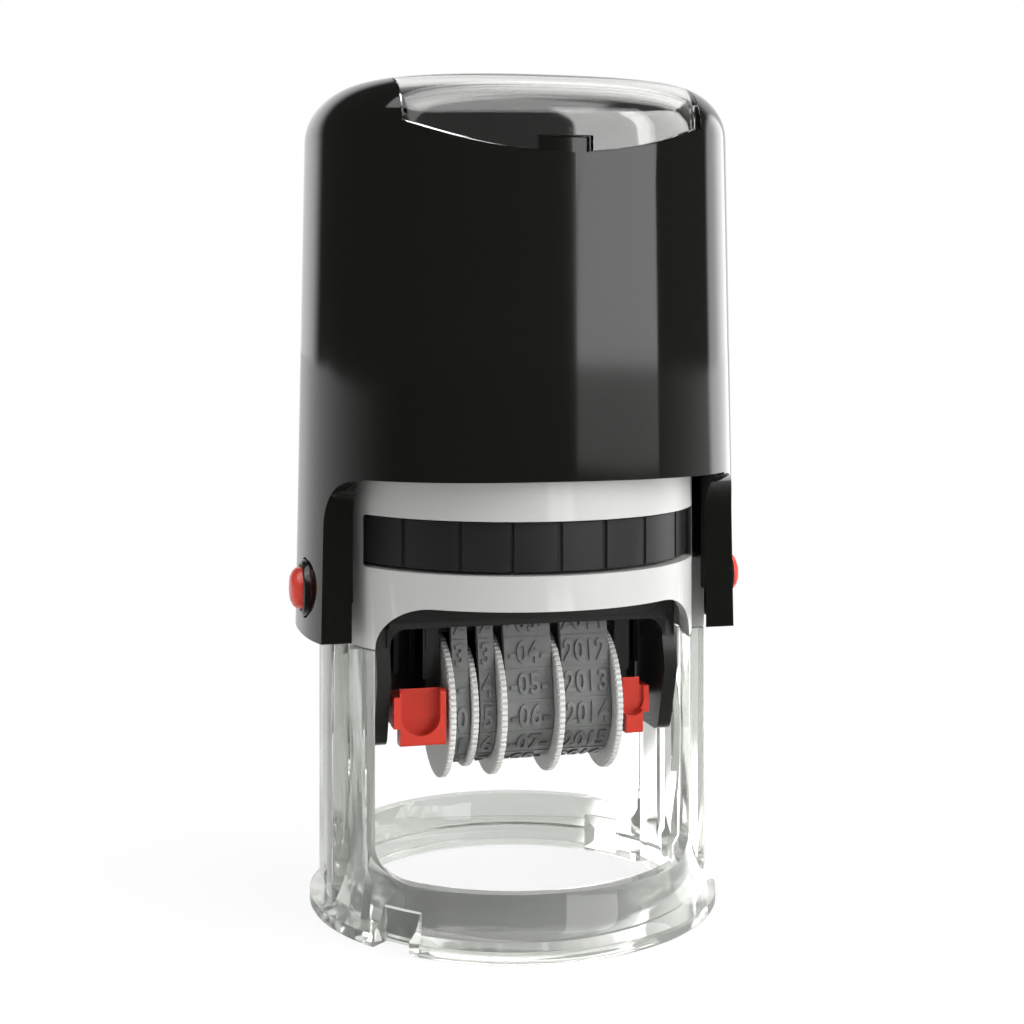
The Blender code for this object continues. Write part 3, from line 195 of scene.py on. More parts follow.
# Sheet. The white sheet under the stamp, a hair below z = 0. The camera and clear plastic see it glow white, a little
# darker close to the stamp, and reflections see it dark in front and bright behind and at the side.
SHEET_HALF = 6000
SHEET_DROP = 0.05
SHEET_GREY = (0.8, 0.8, 0.8, 1)
SHEET_REAR_SPAN = (-0.75, 0.5)
SHEET_REAR_LEVELS = (0.03, 0.8)
SHEET_SIDE_SPAN = (0.9, 0.955)
SHADOW_SPAN = (30 * MM, 160 * MM)
SHADOW_SHARE = 0.86

floor_shape = bmesh.new()
bmesh.ops.create_grid(floor_shape, x_segments=1, y_segments=1, size=SHEET_HALF * MM)
bmesh.ops.translate(floor_shape, verts=floor_shape.verts, vec=(0, 0, -SHEET_DROP * MM))
floor_mesh = bpy.data.meshes.new("floor")
floor_shape.to_mesh(floor_mesh)
floor_shape.free()
floor = bpy.data.objects.new("floor", floor_mesh)
scene.collection.objects.link(floor)
floor_material = bpy.data.materials.new("white_sheet")
floor_material.use_nodes = True
tree = floor_material.node_tree
tree.nodes.clear()
sheet = add_node(tree, "BsdfDiffuse", Color=SHEET_GREY)
rays = add_node(tree, "LightPath").outputs
spot = add_node(tree, "TexCoord").outputs["Object"]
distance = add_node(tree, "VectorMath", {"operation": "LENGTH"}, Vector=spot).outputs["Value"]
heading = add_node(tree, "VectorMath", {"operation": "NORMALIZE"}, Vector=spot).outputs["Vector"]
behind = ramp(tree, facing(tree, heading, 0), *SHEET_REAR_SPAN, *SHEET_REAR_LEVELS)
beside = ramp(tree, facing(tree, heading, SIDE_TURN), *SHEET_SIDE_SPAN, 0.0, SIDE_LEVEL)
near = ramp(tree, distance, *SHADOW_SPAN, SHADOW_SHARE, 1.0)
glow = add_node(tree, "Emission", Color=WHITE, Strength=1.0)
sheen = add_node(tree, "Emission", Color=WHITE, Strength=combine(tree, "ADD", behind, beside))
share = combine(tree, "MULTIPLY", combine(tree, "MAXIMUM", rays["Is Camera Ray"], rays["Is Transmission Ray"]), near)
shown = sheet.outputs[0]
for factor, other in ((share, glow), (rays["Is Glossy Ray"], sheen)):
    mixed = add_node(tree, "MixShader")
    for socket, source in zip(mixed.inputs, (factor, shown, other.outputs[0])):
        tree.links.new(source, socket)
    shown = mixed.outputs[0]
output = add_node(tree, "OutputMaterial")
tree.links.new(shown, output.inputs["Surface"])
floor_mesh.materials.append(floor_material)


# Clear base. One injection moulding in slightly smoky clear plastic: a foot ring with a flared flange, two side
# walls with a wide window at front and rear, and a slotted post at each side that the cap's pins run down.
FOOT_RADIUS = 36.4
WALL_RADIUS = 32.2
WALL_INNER = 30.2
FOOT_BORE = 29.0
BASE_HEIGHT = 47.7
WINDOW_HALF_WIDTH = 28.0
WINDOW_LOW = 10.0
WINDOW_FILLET = 5.0
POST_INNER = 29.6
POST_OUTER = 34.0
POST_HALF_DEPTH = 7.8
POST_FILLET = 0.6
SLOT_HALF_WIDTH = 1.7
SLOT_LOW = 4.3
CAM_GROOVE_FLOOR = 31.4
CAM_PIN_RADIUS = 1.2
CAM_CLEARANCE = 0.4
BAY_HALF_WIDTH = 28.3
BAY_HALF_DEPTH = 12.0
PIVOT_HEIGHT = 51.5
FACE_ABOVE_PIVOT = 6.0
TRAVEL = PIVOT_HEIGHT - FACE_ABOVE_PIVOT
CAM_REACH = 5.0
NOTCH_TURN = math.radians(222)
NOTCH_LOW = (32.3, -3.75, -2.0)
NOTCH_HIGH = (38.5, 3.75, 6.0)
ROUND = 144
TINY = 1e-6


def arc(centre, radius, start, end, steps):
    """Points on an arc, with its angles in degrees."""
    turns = [math.radians(start + (end - start) * i / steps) for i in range(steps + 1)]
    return [(centre[0] + radius * math.cos(t), centre[1] + radius * math.sin(t)) for t in turns]


def rounded_box(low, high, radius_low, radius_high, steps=8):
    """A rectangle from its low to its high corner, with its lower and upper corners rounded."""
    points = arc((high[0] - radius_low, low[1] + radius_low), radius_low, -90, 0, steps)
    points += arc((high[0] - radius_high, high[1] - radius_high), radius_high, 0, 90, steps)
    points += arc((low[0] + radius_high, high[1] - radius_high), radius_high, 90, 180, steps)
    points += arc((low[0] + radius_low, low[1] + radius_low), radius_low, 180, 270, steps)
    return points


def clean(shape):
    """Doubled points merged, loose edges gone and all faces turned outwards."""
    bmesh.ops.remove_doubles(shape, verts=shape.verts, dist=TINY)
    loose = [edge for edge in shape.edges if not edge.link_faces]
    bmesh.ops.delete(shape, geom=loose, context="EDGES")
    bmesh.ops.recalc_face_normals(shape, faces=shape.faces)
    return shape


def turned(profile, steps=ROUND, along_x=False, height=0.0):
    """A closed (radius, height) outline spun about Z, or about a line along X at a height."""
    shape = bmesh.new()
    points = [shape.verts.new((radius * MM, 0, z * MM)) for radius, z in profile]
    edges = [shape.edges.new(pair) for pair in zip(points, points[1:] + points[:1])]
    bmesh.ops.spin(
        shape, geom=points + edges, cent=(0, 0, 0), axis=(0, 0, 1), angle=2 * math.pi, steps=steps, use_merge=True
    )
    clean(shape)
    if along_x:
        bmesh.ops.rotate(shape, verts=shape.verts, cent=(0, 0, 0), matrix=Matrix.Rotation(math.pi / 2, 3, "Y"))
    bmesh.ops.translate(shape, verts=shape.verts, vec=(0, 0, height * MM))
    return shape


def prism(outline, low, high, facing="Z"):
    """An outline seen along one axis, extruded along it from low to high."""
    lay = {"X": lambda a, b: (low, a, b), "Y": lambda a, b: (a, low, b), "Z": lambda a, b: (a, b, low)}[facing]
    way = {"X": (1, 0, 0), "Y": (0, 1, 0), "Z": (0, 0, 1)}[facing]
    shape = bmesh.new()
    face = shape.faces.new([shape.verts.new(Vector(lay(a, b)) * MM) for a, b in outline])
    grown = bmesh.ops.extrude_face_region(shape, geom=[face])["geom"]
    moved = [item for item in grown if isinstance(item, bmesh.types.BMVert)]
    bmesh.ops.translate(shape, verts=moved, vec=Vector(way) * (high - low) * MM)
    return clean(shape)


def block(low, high):
    """A box from its low to its high corner."""
    return prism([(low[0], low[1]), (high[0], low[1]), (high[0], high[1]), (low[0], high[1])], low[2], high[2])


def make_piece(name, shape, material=None, sharp=35):
    """A piece at the origin from a bmesh, smooth except along its sharp edges."""
    mesh = bpy.data.meshes.new(name)
    shape.to_mesh(mesh)
    shape.free()
    piece = bpy.data.objects.new(name, mesh)
    scene.collection.objects.link(piece)
    if material:
        mesh.materials.append(material)
    mesh.shade_smooth()
    mesh.set_sharp_from_angle(angle=math.radians(sharp))
    return piece


def carve(piece, steps, sharp=35):
    """Cut shapes from a piece or fuse them to it, in order, and keep the result as its mesh."""
    tools = []
    for operation, shape in steps:
        tool = make_piece("tool", shape)
        step = piece.modifiers.new("carve", "BOOLEAN")
        step.operation = operation
        step.object = tool
        step.solver = "EXACT"
        tools.append(tool)
    made = bpy.data.meshes.new_from_object(piece.evaluated_get(bpy.context.evaluated_depsgraph_get()))
    piece.modifiers.clear()
    before, piece.data = piece.data, made
    name = before.name
    bpy.data.meshes.remove(before)
    made.name = name
    for tool in tools:
        mesh = tool.data
        bpy.data.objects.remove(tool)
        bpy.data.meshes.remove(mesh)
    shape = bmesh.new()
    shape.from_mesh(made)
    bmesh.ops.remove_doubles(shape, verts=shape.verts, dist=TINY)
    shape.to_mesh(made)
    shape.free()
    made.shade_smooth()
    made.set_sharp_from_angle(angle=math.radians(sharp))


def soften(piece, width, segments=2, angle=40):
    """Round off a piece's sharp edges with a small live bevel."""
    step = piece.modifiers.new("soft_edges", "BEVEL")
    step.width = width * MM
    step.segments = segments
    step.limit_method = "ANGLE"
    step.angle_limit = math.radians(angle)
    step.harden_normals = True


def cam_groove():
    """The path of the cam pin past the post while the unit turns over on its way down, as an outline."""
    half = CAM_PIN_RADIUS + CAM_CLEARANCE
    path = []
    steps = 40
    for i in range(steps + 1):
        turn = math.pi * i / steps
        path.append((-CAM_REACH * math.sin(turn), PIVOT_HEIGHT - TRAVEL * i / steps - CAM_REACH * math.cos(turn)))
    left, right = [], []
    for i, (y, z) in enumerate(path):
        before, after = path[max(i - 1, 0)], path[min(i + 1, steps)]
        along = Vector((after[0] - before[0], after[1] - before[1])).normalized() * half
        left.append((y - along[1], z + along[0]))
        right.append((y + along[1], z - along[0]))
    return left + right[::-1]


FINISH_INPUTS = (
    ("Colour", "NodeSocketColor", (0.5, 0.5, 0.5, 1)),
    ("Mottle", "NodeSocketFloat", 0.05),
    ("Roughness", "NodeSocketFloat", 0.4),
    ("Haze", "NodeSocketFloat", 0.05),
    ("Grain per Metre", "NodeSocketFloat", 4000.0),
    ("Rub", "NodeSocketFloat", 0.0),
)
WORN_SPAN = (0.52, 0.6)
GRAIN_DEPTH = 0.00005
moulded_finish = bpy.data.node_groups.new("moulded_finish", "ShaderNodeTree")
for name, kind, value in FINISH_INPUTS:
    moulded_finish.interface.new_socket(name, in_out="INPUT", socket_type=kind).default_value = value
for name, kind in (("Colour", "NodeSocketColor"), ("Roughness", "NodeSocketFloat"), ("Grain", "NodeSocketFloat")):
    moulded_finish.interface.new_socket(name, in_out="OUTPUT", socket_type=kind)
tree = moulded_finish
given = tree.nodes.new("NodeGroupInput").outputs
place = add_node(tree, "TexCoord").outputs["Object"]
grain = add_node(tree, "TexNoise", Vector=place, Scale=given["Grain per Metre"], Detail=3.0, Roughness=0.6)
cloud = add_node(tree, "TexNoise", Vector=place, Scale=60.0, Detail=4.0, Roughness=0.55)
edge = add_node(tree, "NewGeometry").outputs["Pointiness"]
worn = add_node(tree, "MapRange", Value=edge)
worn.inputs["From Min"].default_value, worn.inputs["From Max"].default_value = WORN_SPAN
rubbed = combine(tree, "MULTIPLY", worn.outputs["Result"], given["Rub"])
centred = combine(tree, "SUBTRACT", cloud.outputs["Fac"], 0.5)
brighter = combine(tree, "ADD", combine(tree, "MULTIPLY_ADD", centred, given["Mottle"], 1.0), rubbed)
tinted = add_node(tree, "VectorMath", {"operation": "SCALE"}, Vector=given["Colour"], Scale=brighter)
hazed = combine(tree, "MULTIPLY_ADD", centred, given["Haze"], given["Roughness"])
results = tree.nodes.new("NodeGroupOutput").inputs
for source, name in ((tinted.outputs["Vector"], "Colour"), (hazed, "Roughness"), (grain.outputs["Fac"], "Grain")):
    tree.links.new(source, results[name])


def moulded(name, colour, roughness, mottle=0.06, haze=0.06, grain=4000.0, relief=0.1, rub=0.0, **plain):
    """A moulded material: the shared finish with its own values, a fine grain in relief, and plain sockets."""
    material = bpy.data.materials.new(name)
    material.use_nodes = True
    tree = material.node_tree
    shader = tree.nodes["Principled BSDF"]
    finish = tree.nodes.new("ShaderNodeGroup")
    finish.node_tree = moulded_finish
    values = ((*colour, 1.0), mottle, roughness, haze, grain, rub)
    for (socket, _, _), value in zip(FINISH_INPUTS, values):
        finish.inputs[socket].default_value = value
    bump = add_node(tree, "Bump", Height=finish.outputs["Grain"], Strength=relief, Distance=GRAIN_DEPTH)
    tree.links.new(finish.outputs["Colour"], shader.inputs["Base Color"])
    tree.links.new(finish.outputs["Roughness"], shader.inputs["Roughness"])
    tree.links.new(bump.outputs["Normal"], shader.inputs["Normal"])
    for socket, value in plain.items():
        shader.inputs[socket.replace("_", " ")].default_value = value
    return material


def repaint(names, material):
    """Give pieces that stay as they come from the CAD another material."""
    for name in names:
        nodes[name].data.materials.clear()
        nodes[name].data.materials.append(material)


clear_plastic = moulded(
    "clear_plastic",
    (0.81, 0.83, 0.79),
    0.045,
    mottle=0.04,
    haze=0.03,
    grain=300.0,
    relief=0.08,
    Transmission_Weight=0.86,
    IOR=1.46,
)

base_profile = [
    (WALL_RADIUS, BASE_HEIGHT),
    (WALL_RADIUS, 11.5),
    (32.3, 10.2),
    (32.6, 8.6),
    (33.05, 7.0),
    (33.55, 5.6),
    (34.05, 4.4),
    (34.55, 3.6),
    (35.5, 2.8),
    (FOOT_RADIUS, 2.2),
    (FOOT_RADIUS, 0.5),
    (36.1, 0.0),
    (29.4, 0.0),
    (FOOT_BORE, 0.4),
    (FOOT_BORE, 8.0),
    (WALL_INNER, 10.0),
    (WALL_INNER, BASE_HEIGHT),
]
base = make_piece("clear_moulding", turned(base_profile), clear_plastic)
steps = []
for sign in (-1, 1):
    ends = sorted((sign * POST_INNER, sign * POST_OUTER))
    post = rounded_box((ends[0], -POST_HALF_DEPTH), (ends[1], POST_HALF_DEPTH), POST_FILLET, POST_FILLET, 3)
    steps.append(("UNION", prism(post, 1.0, BASE_HEIGHT)))
window = rounded_box(
    (-WINDOW_HALF_WIDTH, WINDOW_LOW), (WINDOW_HALF_WIDTH, 60.0), WINDOW_FILLET, WINDOW_FILLET, 10
)
steps.append(("DIFFERENCE", prism(window, -FOOT_RADIUS, FOOT_RADIUS, "Y")))
steps.append(
    ("DIFFERENCE", block((-BAY_HALF_WIDTH, -BAY_HALF_DEPTH, -2.0), (BAY_HALF_WIDTH, BAY_HALF_DEPTH, 52.0)))
)
for sign in (-1, 1):
    ends = sorted((sign * (POST_INNER - 2), sign * (POST_OUTER + 2)))
    slot = rounded_box((-SLOT_HALF_WIDTH, SLOT_LOW), (SLOT_HALF_WIDTH, 53.0), 1.2, 1.2, 4)
    steps.append(("DIFFERENCE", prism(slot, *ends, "X")))
    ends = sorted((sign * (POST_INNER - 2), sign * CAM_GROOVE_FLOOR))
    steps.append(("DIFFERENCE", prism(cam_groove(), *ends, "X")))
for half_turn in (0, math.pi):
    notch = block(NOTCH_LOW, NOTCH_HIGH)
    bmesh.ops.rotate(
        notch, verts=notch.verts, cent=(0, 0, 0), matrix=Matrix.Rotation(NOTCH_TURN + half_turn, 3, "Z")
    )
    steps.append(("DIFFERENCE", notch))
carve(base, steps)
soften(base, 0.25)
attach(base, "base")
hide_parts("clear_base")


# Silver frame. The grey upper moulding that the clear base snaps to: a roofed ring round the ink pad with a slot
# for its tray, the upper ends of the posts and the arch over the window. Its surface is a fine satin grain.
FRAME_LOW = 48.0
BAND_LOW = 55.9
FRAME_TOP = 84.0
ARCH_FILLET = 8.0
PAD_SLOT_LOW = 62.0
PAD_SLOT_HIGH = 70.6
PAD_SLOT_HALF_WIDTH = 29.5
LEDGE_RADIUS = 26.8

silver_plastic = moulded(
    "silver_plastic",
    (0.465, 0.47, 0.455),
    0.4,
    mottle=0.05,
    haze=0.08,
    grain=9000.0,
    relief=0.35,
    rub=0.15,
    Metallic=0.15,
    Specular_IOR_Level=0.25,
)
frame_profile = [
    (WALL_RADIUS - 0.6, FRAME_TOP),
    (WALL_RADIUS, FRAME_TOP - 0.6),
    (WALL_RADIUS, FRAME_LOW),
    (WALL_INNER, FRAME_LOW),
    (WALL_INNER, 60.3),
    (LEDGE_RADIUS, 60.3),
    (LEDGE_RADIUS, PAD_SLOT_LOW),
    (WALL_INNER, PAD_SLOT_LOW),
    (WALL_INNER, FRAME_TOP - 2),
    (5.2, FRAME_TOP - 2),
    (5.2, FRAME_TOP),
]
silver = make_piece("silver_moulding", turned(frame_profile), silver_plastic)
steps = []
for sign in (-1, 1):
    ends = sorted((sign * POST_INNER, sign * POST_OUTER))
    post = rounded_box((ends[0], -POST_HALF_DEPTH), (ends[1], POST_HALF_DEPTH), POST_FILLET, POST_FILLET, 3)
    steps.append(("UNION", prism(post, FRAME_LOW, 60.6)))
arch = rounded_box((-WINDOW_HALF_WIDTH, 30.0), (WINDOW_HALF_WIDTH, BAND_LOW), ARCH_FILLET, ARCH_FILLET, 12)
steps.append(("DIFFERENCE", prism(arch, -FOOT_RADIUS, FOOT_RADIUS, "Y")))
pad_slot = rounded_box(
    (-PAD_SLOT_HALF_WIDTH, PAD_SLOT_LOW - 0.3), (PAD_SLOT_HALF_WIDTH, PAD_SLOT_HIGH), 0.5, 0.5, 3
)
steps.append(("DIFFERENCE", prism(pad_slot, -WALL_RADIUS - 2, 0.3, "Y")))
for sign in (-1, 1):
    ends = sorted((sign * (POST_INNER - 2), sign * (POST_OUTER + 2)))
    slot = rounded_box((-SLOT_HALF_WIDTH, 45.0), (SLOT_HALF_WIDTH, 53.2), 0.8, 1.6, 4)
    steps.append(("DIFFERENCE", prism(slot, *ends, "X")))
carve(silver, steps)
soften(silver, 0.35, 3)
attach(silver, "base")
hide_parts("silver_frame")


# Return spring and its guide. A steel compression spring stands round a black tube on the frame's roof and pushes
# the cap back up. It is one wire wound into a helix with its end turns lying close.
SPRING_RADIUS = 9.2
WIRE_RADIUS = 0.7
SPRING_LOW = 84.3
SPRING_HIGH = 140.8
SPRING_TURNS = 9
SPRING_STEPS = 40

black_matte = moulded(
    "matte_black_plastic", (0.011, 0.011, 0.0105), 0.45, mottle=0.3, haze=0.12, grain=7000.0, relief=0.2, rub=0.5
)
spring_steel = moulded(
    "spring_steel", (0.56, 0.56, 0.55), 0.22, mottle=0.1, haze=0.15, grain=2500.0, relief=0.1, Metallic=1.0
)
wire = bmesh.new()
start = Matrix.Translation(Vector((SPRING_RADIUS, 0, SPRING_LOW + WIRE_RADIUS)) * MM)
start = start @ Matrix.Rotation(math.pi / 2, 4, "X")
bmesh.ops.create_circle(wire, cap_ends=True, segments=12, radius=WIRE_RADIUS * MM, matrix=start)
last = wire.verts[:] + wire.edges[:] + wire.faces[:]
rise = SPRING_HIGH - SPRING_LOW - 2 * WIRE_RADIUS
close = 2.2 * WIRE_RADIUS
for turns, lift in ((1, close), (SPRING_TURNS - 2, (rise - 2 * close) / (SPRING_TURNS - 2)), (1, close)):
    steps = turns * SPRING_STEPS
    last = bmesh.ops.spin(
        wire,
        geom=last,
        cent=(0, 0, 0),
        axis=(0, 0, 1),
        dvec=(0, 0, lift / SPRING_STEPS * MM),
        angle=turns * 2 * math.pi,
        steps=steps,
    )["geom_last"]
spring = make_piece("return_spring_wire", clean(wire), spring_steel, sharp=50)
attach(spring, "base")
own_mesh(spring)
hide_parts("return_spring")
repaint(["spring_guide"], black_matte)


# Ink pad cassette. A matt black tray with finger grooves across its front, which slides in through the slot, and
# the felt pressed into it, dark with ink.
TRAY_LOW = 62.3
TRAY_HIGH = 70.3
TRAY_FRONT = 31.2
TRAY_REAR = 29.6
TRAY_HALF_WIDTH = 29.2
TRAY_RIM = 2.2
TRAY_FLOOR = 1.6
TRAY_GROOVES = 7
GROOVE_PITCH = 8.0


def tray_shape(inset, low, high):
    """The tray's plan: half round at the rear and an arc at the front that the straight sides run into."""
    half = TRAY_HALF_WIDTH - inset
    rear, front = TRAY_REAR - inset, TRAY_FRONT - inset
    start = math.degrees(math.acos(half / rear))
    corner = math.degrees(math.acos(half / front))
    outline = arc((0, 0), rear, start, 180 - start, 48)
    outline += arc((0, 0), front, 180 + corner, 360 - corner, 64)
    return prism(outline, low, high)


tray = make_piece("pad_cassette", tray_shape(0, TRAY_LOW, TRAY_HIGH), black_matte)
steps = [("DIFFERENCE", tray_shape(TRAY_RIM, TRAY_LOW - 2, TRAY_HIGH - TRAY_FLOOR))]
for i in range(TRAY_GROOVES):
    x = (i - (TRAY_GROOVES - 1) / 2) * GROOVE_PITCH
    y = -math.sqrt(TRAY_FRONT**2 - x**2)
    groove = rounded_box((-0.45, -0.7), (0.45, 0.5), 0.2, 0.4, 3)
    shape = prism(groove, TRAY_LOW - 1, TRAY_HIGH + 1)
    bmesh.ops.rotate(
        shape, verts=shape.verts, cent=(0, 0, 0), matrix=Matrix.Rotation(math.atan2(x, -y), 3, "Z")
    )
    bmesh.ops.translate(shape, verts=shape.verts, vec=Vector((x, y, 0)) * MM)
    steps.append(("DIFFERENCE", shape))
carve(tray, steps)
soften(tray, 0.2)
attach(tray, "pad_cassette")
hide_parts("pad_tray")

inked_felt = moulded(
    "inked_felt", (0.012, 0.01, 0.03), 0.95, mottle=0.8, haze=0.1, grain=5000.0, relief=1.0, Sheen_Weight=0.4
)
felt_shape = tray_shape(TRAY_RIM + 0.3, TRAY_LOW + 0.4, TRAY_HIGH - TRAY_FLOOR - 0.3)
felt = make_piece("inked_pad", felt_shape, inked_felt)
soften(felt, 0.5, 3)
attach(felt, "pad_cassette")
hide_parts("ink_pad")


# Plate carrier. The glossy black moulding that holds the text plate: a bridge across the stamp with a hanging edge
# at front and rear and the band slot through its middle, and at each side a leg that hangs on the pivot pin.
CARRIER_LOW = 51.6
CARRIER_HIGH = 53.6
HOOD_LOW = 50.6
HOOD_HALF_DEPTH = 12.4
HOOD_FILLET = 3.2
LEG_INNER = 24.6
LEG_OUTER = 27.0
LEG_BOTTOM = 29.8
BAND_SLOT = ((-14.6, -7.0), (17.1, 7.0))
LEG_SIDE = [(-11.2, 47.0), (-12.6, 42.0)]

black_gloss = moulded(
    "glossy_black_plastic",
    (0.0058, 0.0062, 0.005),
    0.07,
    mottle=0.1,
    haze=0.03,
    grain=250.0,
    relief=0.02,
    IOR=1.5,
)
carrier_black = moulded(
    "carrier_black_plastic", (0.019, 0.02, 0.018), 0.28, mottle=0.2, haze=0.1, grain=5000.0, relief=0.1, rub=0.4
)
plan = rounded_box((0.3 - LEG_OUTER, -HOOD_HALF_DEPTH), (LEG_OUTER - 0.3, HOOD_HALF_DEPTH), 1.5, 1.5, 4)
carrier = make_piece("plate_carrier", prism(plan, CARRIER_LOW, CARRIER_HIGH), carrier_black)
front_hood = rounded_box((-LEG_INNER, LEG_BOTTOM), (LEG_INNER, HOOD_LOW), 0.4, HOOD_FILLET, 8)
leg = [(10.5, 53.3), (-10.5, 53.3)] + LEG_SIDE
leg += arc((-6.6, 32.4), 2.6, 190, 270, 6) + arc((6.6, 32.4), 2.6, 270, 350, 6)
leg += [(-y, z) for y, z in LEG_SIDE[::-1]]
steps = []
for sign in (-1, 1):
    ends = sorted((sign * LEG_INNER, sign * LEG_OUTER))
    steps.append(("UNION", prism(leg, *ends, "X")))
    corner = [(sign * (LEG_INNER + 0.5), CARRIER_LOW + 1), (sign * (LEG_INNER - HOOD_FILLET), CARRIER_LOW + 1)]
    turns = arc((LEG_INNER - HOOD_FILLET, HOOD_LOW - HOOD_FILLET), HOOD_FILLET, 90, 0, 8)
    corner += [(sign * x, z) for x, z in turns] + [(sign * (LEG_INNER + 0.5), HOOD_LOW - HOOD_FILLET)]
    for side in (-1, 1):
        ends = sorted((side * (HOOD_HALF_DEPTH - 1.8), side * (HOOD_HALF_DEPTH - 0.9)))
        steps.append(("UNION", prism(corner, *ends, "Y")))
for side in (-1, 1):
    ends = sorted((side * (HOOD_HALF_DEPTH - 1.8), side * (HOOD_HALF_DEPTH - 0.02)))
    steps.append(
        ("UNION", block((-LEG_INNER - 0.3, ends[0], HOOD_LOW), (LEG_INNER + 0.3, ends[1], CARRIER_LOW + 1)))
    )
steps.append(("DIFFERENCE", prism(rounded_box(*BAND_SLOT, 1.6, 1.6, 4), 50.0, 58.0)))
carve(carrier, steps)
soften(carrier, 0.35, 3)
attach(carrier, "print_unit")
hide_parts("plate_yoke")


# Text plate. A dark rubber plate on its black backing disc, both with the slot that the date bands print through.
# Its face carries only a plain raised rim, and no text.
RIM_INNER = 23.2
RIM_OUTER = 24.2
RIM_LOW = 57.0
RIM_HIGH = 57.5

plate_rubber = moulded("plate_rubber", (0.05, 0.05, 0.05), 0.7, mottle=0.2, grain=3000.0, relief=0.4)
repaint(["text_die"], plate_rubber)
repaint(["die_backing"], black_matte)
rim_profile = [(RIM_INNER, RIM_LOW), (RIM_OUTER, RIM_LOW), (RIM_OUTER, RIM_HIGH), (RIM_INNER, RIM_HIGH)]
rim = make_piece("plate_rim", turned(rim_profile), plate_rubber)
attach(rim, "print_unit")


# Date unit frame and axle. Two matt black cheeks joined by the nose bar that the bands run over, a ribbed web from
# each cheek towards the carrier's leg, and the steel axle riveted through the cheeks.
CHEEKS = ((-17.2, -14.9), (17.4, 19.7))
CHEEK_HALF_DEPTH = 6.0
CHEEK_ROUND = 5.5
NOSE_HIGH = 51.3
NOSE_DEPTH = 3.0
NOSE_HALF_DEPTH = 4.2
WEB = ((3.1, 34.0), (4.7, 51.0))
WEB_REACH = 24.3
AXLE_HEIGHT = 35.0
AXLE_BORE = 1.8

frame_black = moulded(
    "frame_black_plastic", (0.016, 0.0165, 0.0155), 0.4, mottle=0.25, haze=0.1, grain=6000.0, relief=0.2, rub=0.5
)
cheek = [(CHEEK_HALF_DEPTH, NOSE_HIGH), (-CHEEK_HALF_DEPTH, NOSE_HIGH)]
cheek += arc((0, AXLE_HEIGHT), CHEEK_ROUND, 180, 360, 20)
date_frame = make_piece("date_frame_moulding", prism(cheek, *CHEEKS[0], "X"), frame_black)
steps = [("UNION", prism(cheek, *CHEEKS[1], "X"))]
nose = block((-16.0, -3.9, NOSE_HIGH - NOSE_DEPTH + 0.3), (18.5, 3.9, NOSE_HIGH - 0.3))
steps.append(("UNION", nose))
tip = rounded_box((-NOSE_HALF_DEPTH, NOSE_HIGH - NOSE_DEPTH), (NOSE_HALF_DEPTH, 55.7), 0.3, 1.2, 4)
steps.append(("UNION", prism(tip, -14.6, 17.1, "X")))
for sign, cheek_face in ((-1, CHEEKS[0][0]), (1, CHEEKS[1][1])):
    ends = sorted((cheek_face - sign, sign * WEB_REACH))
    steps.append(("UNION", block((ends[0], WEB[0][0], WEB[0][1]), (ends[1], WEB[1][0], WEB[1][1]))))
    for rib in (1.2, 4.0):
        x = cheek_face + sign * rib
        steps.append(("UNION", block((x - 0.45, 0.9, 40.5), (x + 0.45, 3.5, 50.9))))
    edge = sorted((cheek_face - sign * 0.9, cheek_face + sign * 0.5))
    steps.append(("UNION", block((edge[0], -5.7, 40.6), (edge[1], -4.7, 51.1))))
bore = [(0.0, -21.0), (AXLE_BORE, -21.0), (AXLE_BORE, 22.0), (0.0, 22.0)]
steps.append(("DIFFERENCE", turned(bore, 32, along_x=True, height=AXLE_HEIGHT)))
carve(date_frame, steps)
soften(date_frame, 0.2)
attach(date_frame, "print_unit")
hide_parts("date_frame")

axle_steel = moulded(
    "axle_steel", (0.5, 0.5, 0.5), 0.3, mottle=0.1, haze=0.2, grain=2500.0, relief=0.15, Metallic=1.0
)
repaint(["wheel_axle", "trunnion_pin_left", "trunnion_pin_right", "cam_pin_left", "cam_pin_right"], axle_steel)


# Date wheels. Four light grey wheels side by side on the axle, each a drum inside its band with a thumb disc at its
# right, and one more disc at the far left. The discs' rims are cut into small square teeth.
DRUM_RADIUS = 8.2
DISC_RADIUS = 12.9
DIVIDER_RADIUS = 11.2
DISC_THICKNESS = 1.2
DISC_TEETH = 78
TOOTH_DEPTH = 0.45
TOOTH_SHARE = 0.74
TOOTH_BEVEL = 0.16
WHEELS = {
    "day_tens": ((-13.2, -10.0), ((-14.4, DISC_RADIUS), (-10.0, DIVIDER_RADIUS))),
    "day_units": ((-8.5, -5.3), ((-5.3, DISC_RADIUS),)),
    "month": ((-3.8, 5.1), ((5.1, DISC_RADIUS),)),
    "year": ((6.6, 15.7), ((15.7, DISC_RADIUS),)),
}
wheel_plastic = moulded("wheel_plastic", (0.52, 0.525, 0.51), 0.5, mottle=0.12, grain=5000.0, relief=0.2)
# The teeth are a lighter grey than the wheel: a painted highlight for the light their rims catch.
tooth_highlight_plastic = moulded("teeth_painted_highlight", (0.62, 0.62, 0.6), 0.5, mottle=0.2, grain=4000.0, relief=0.3)


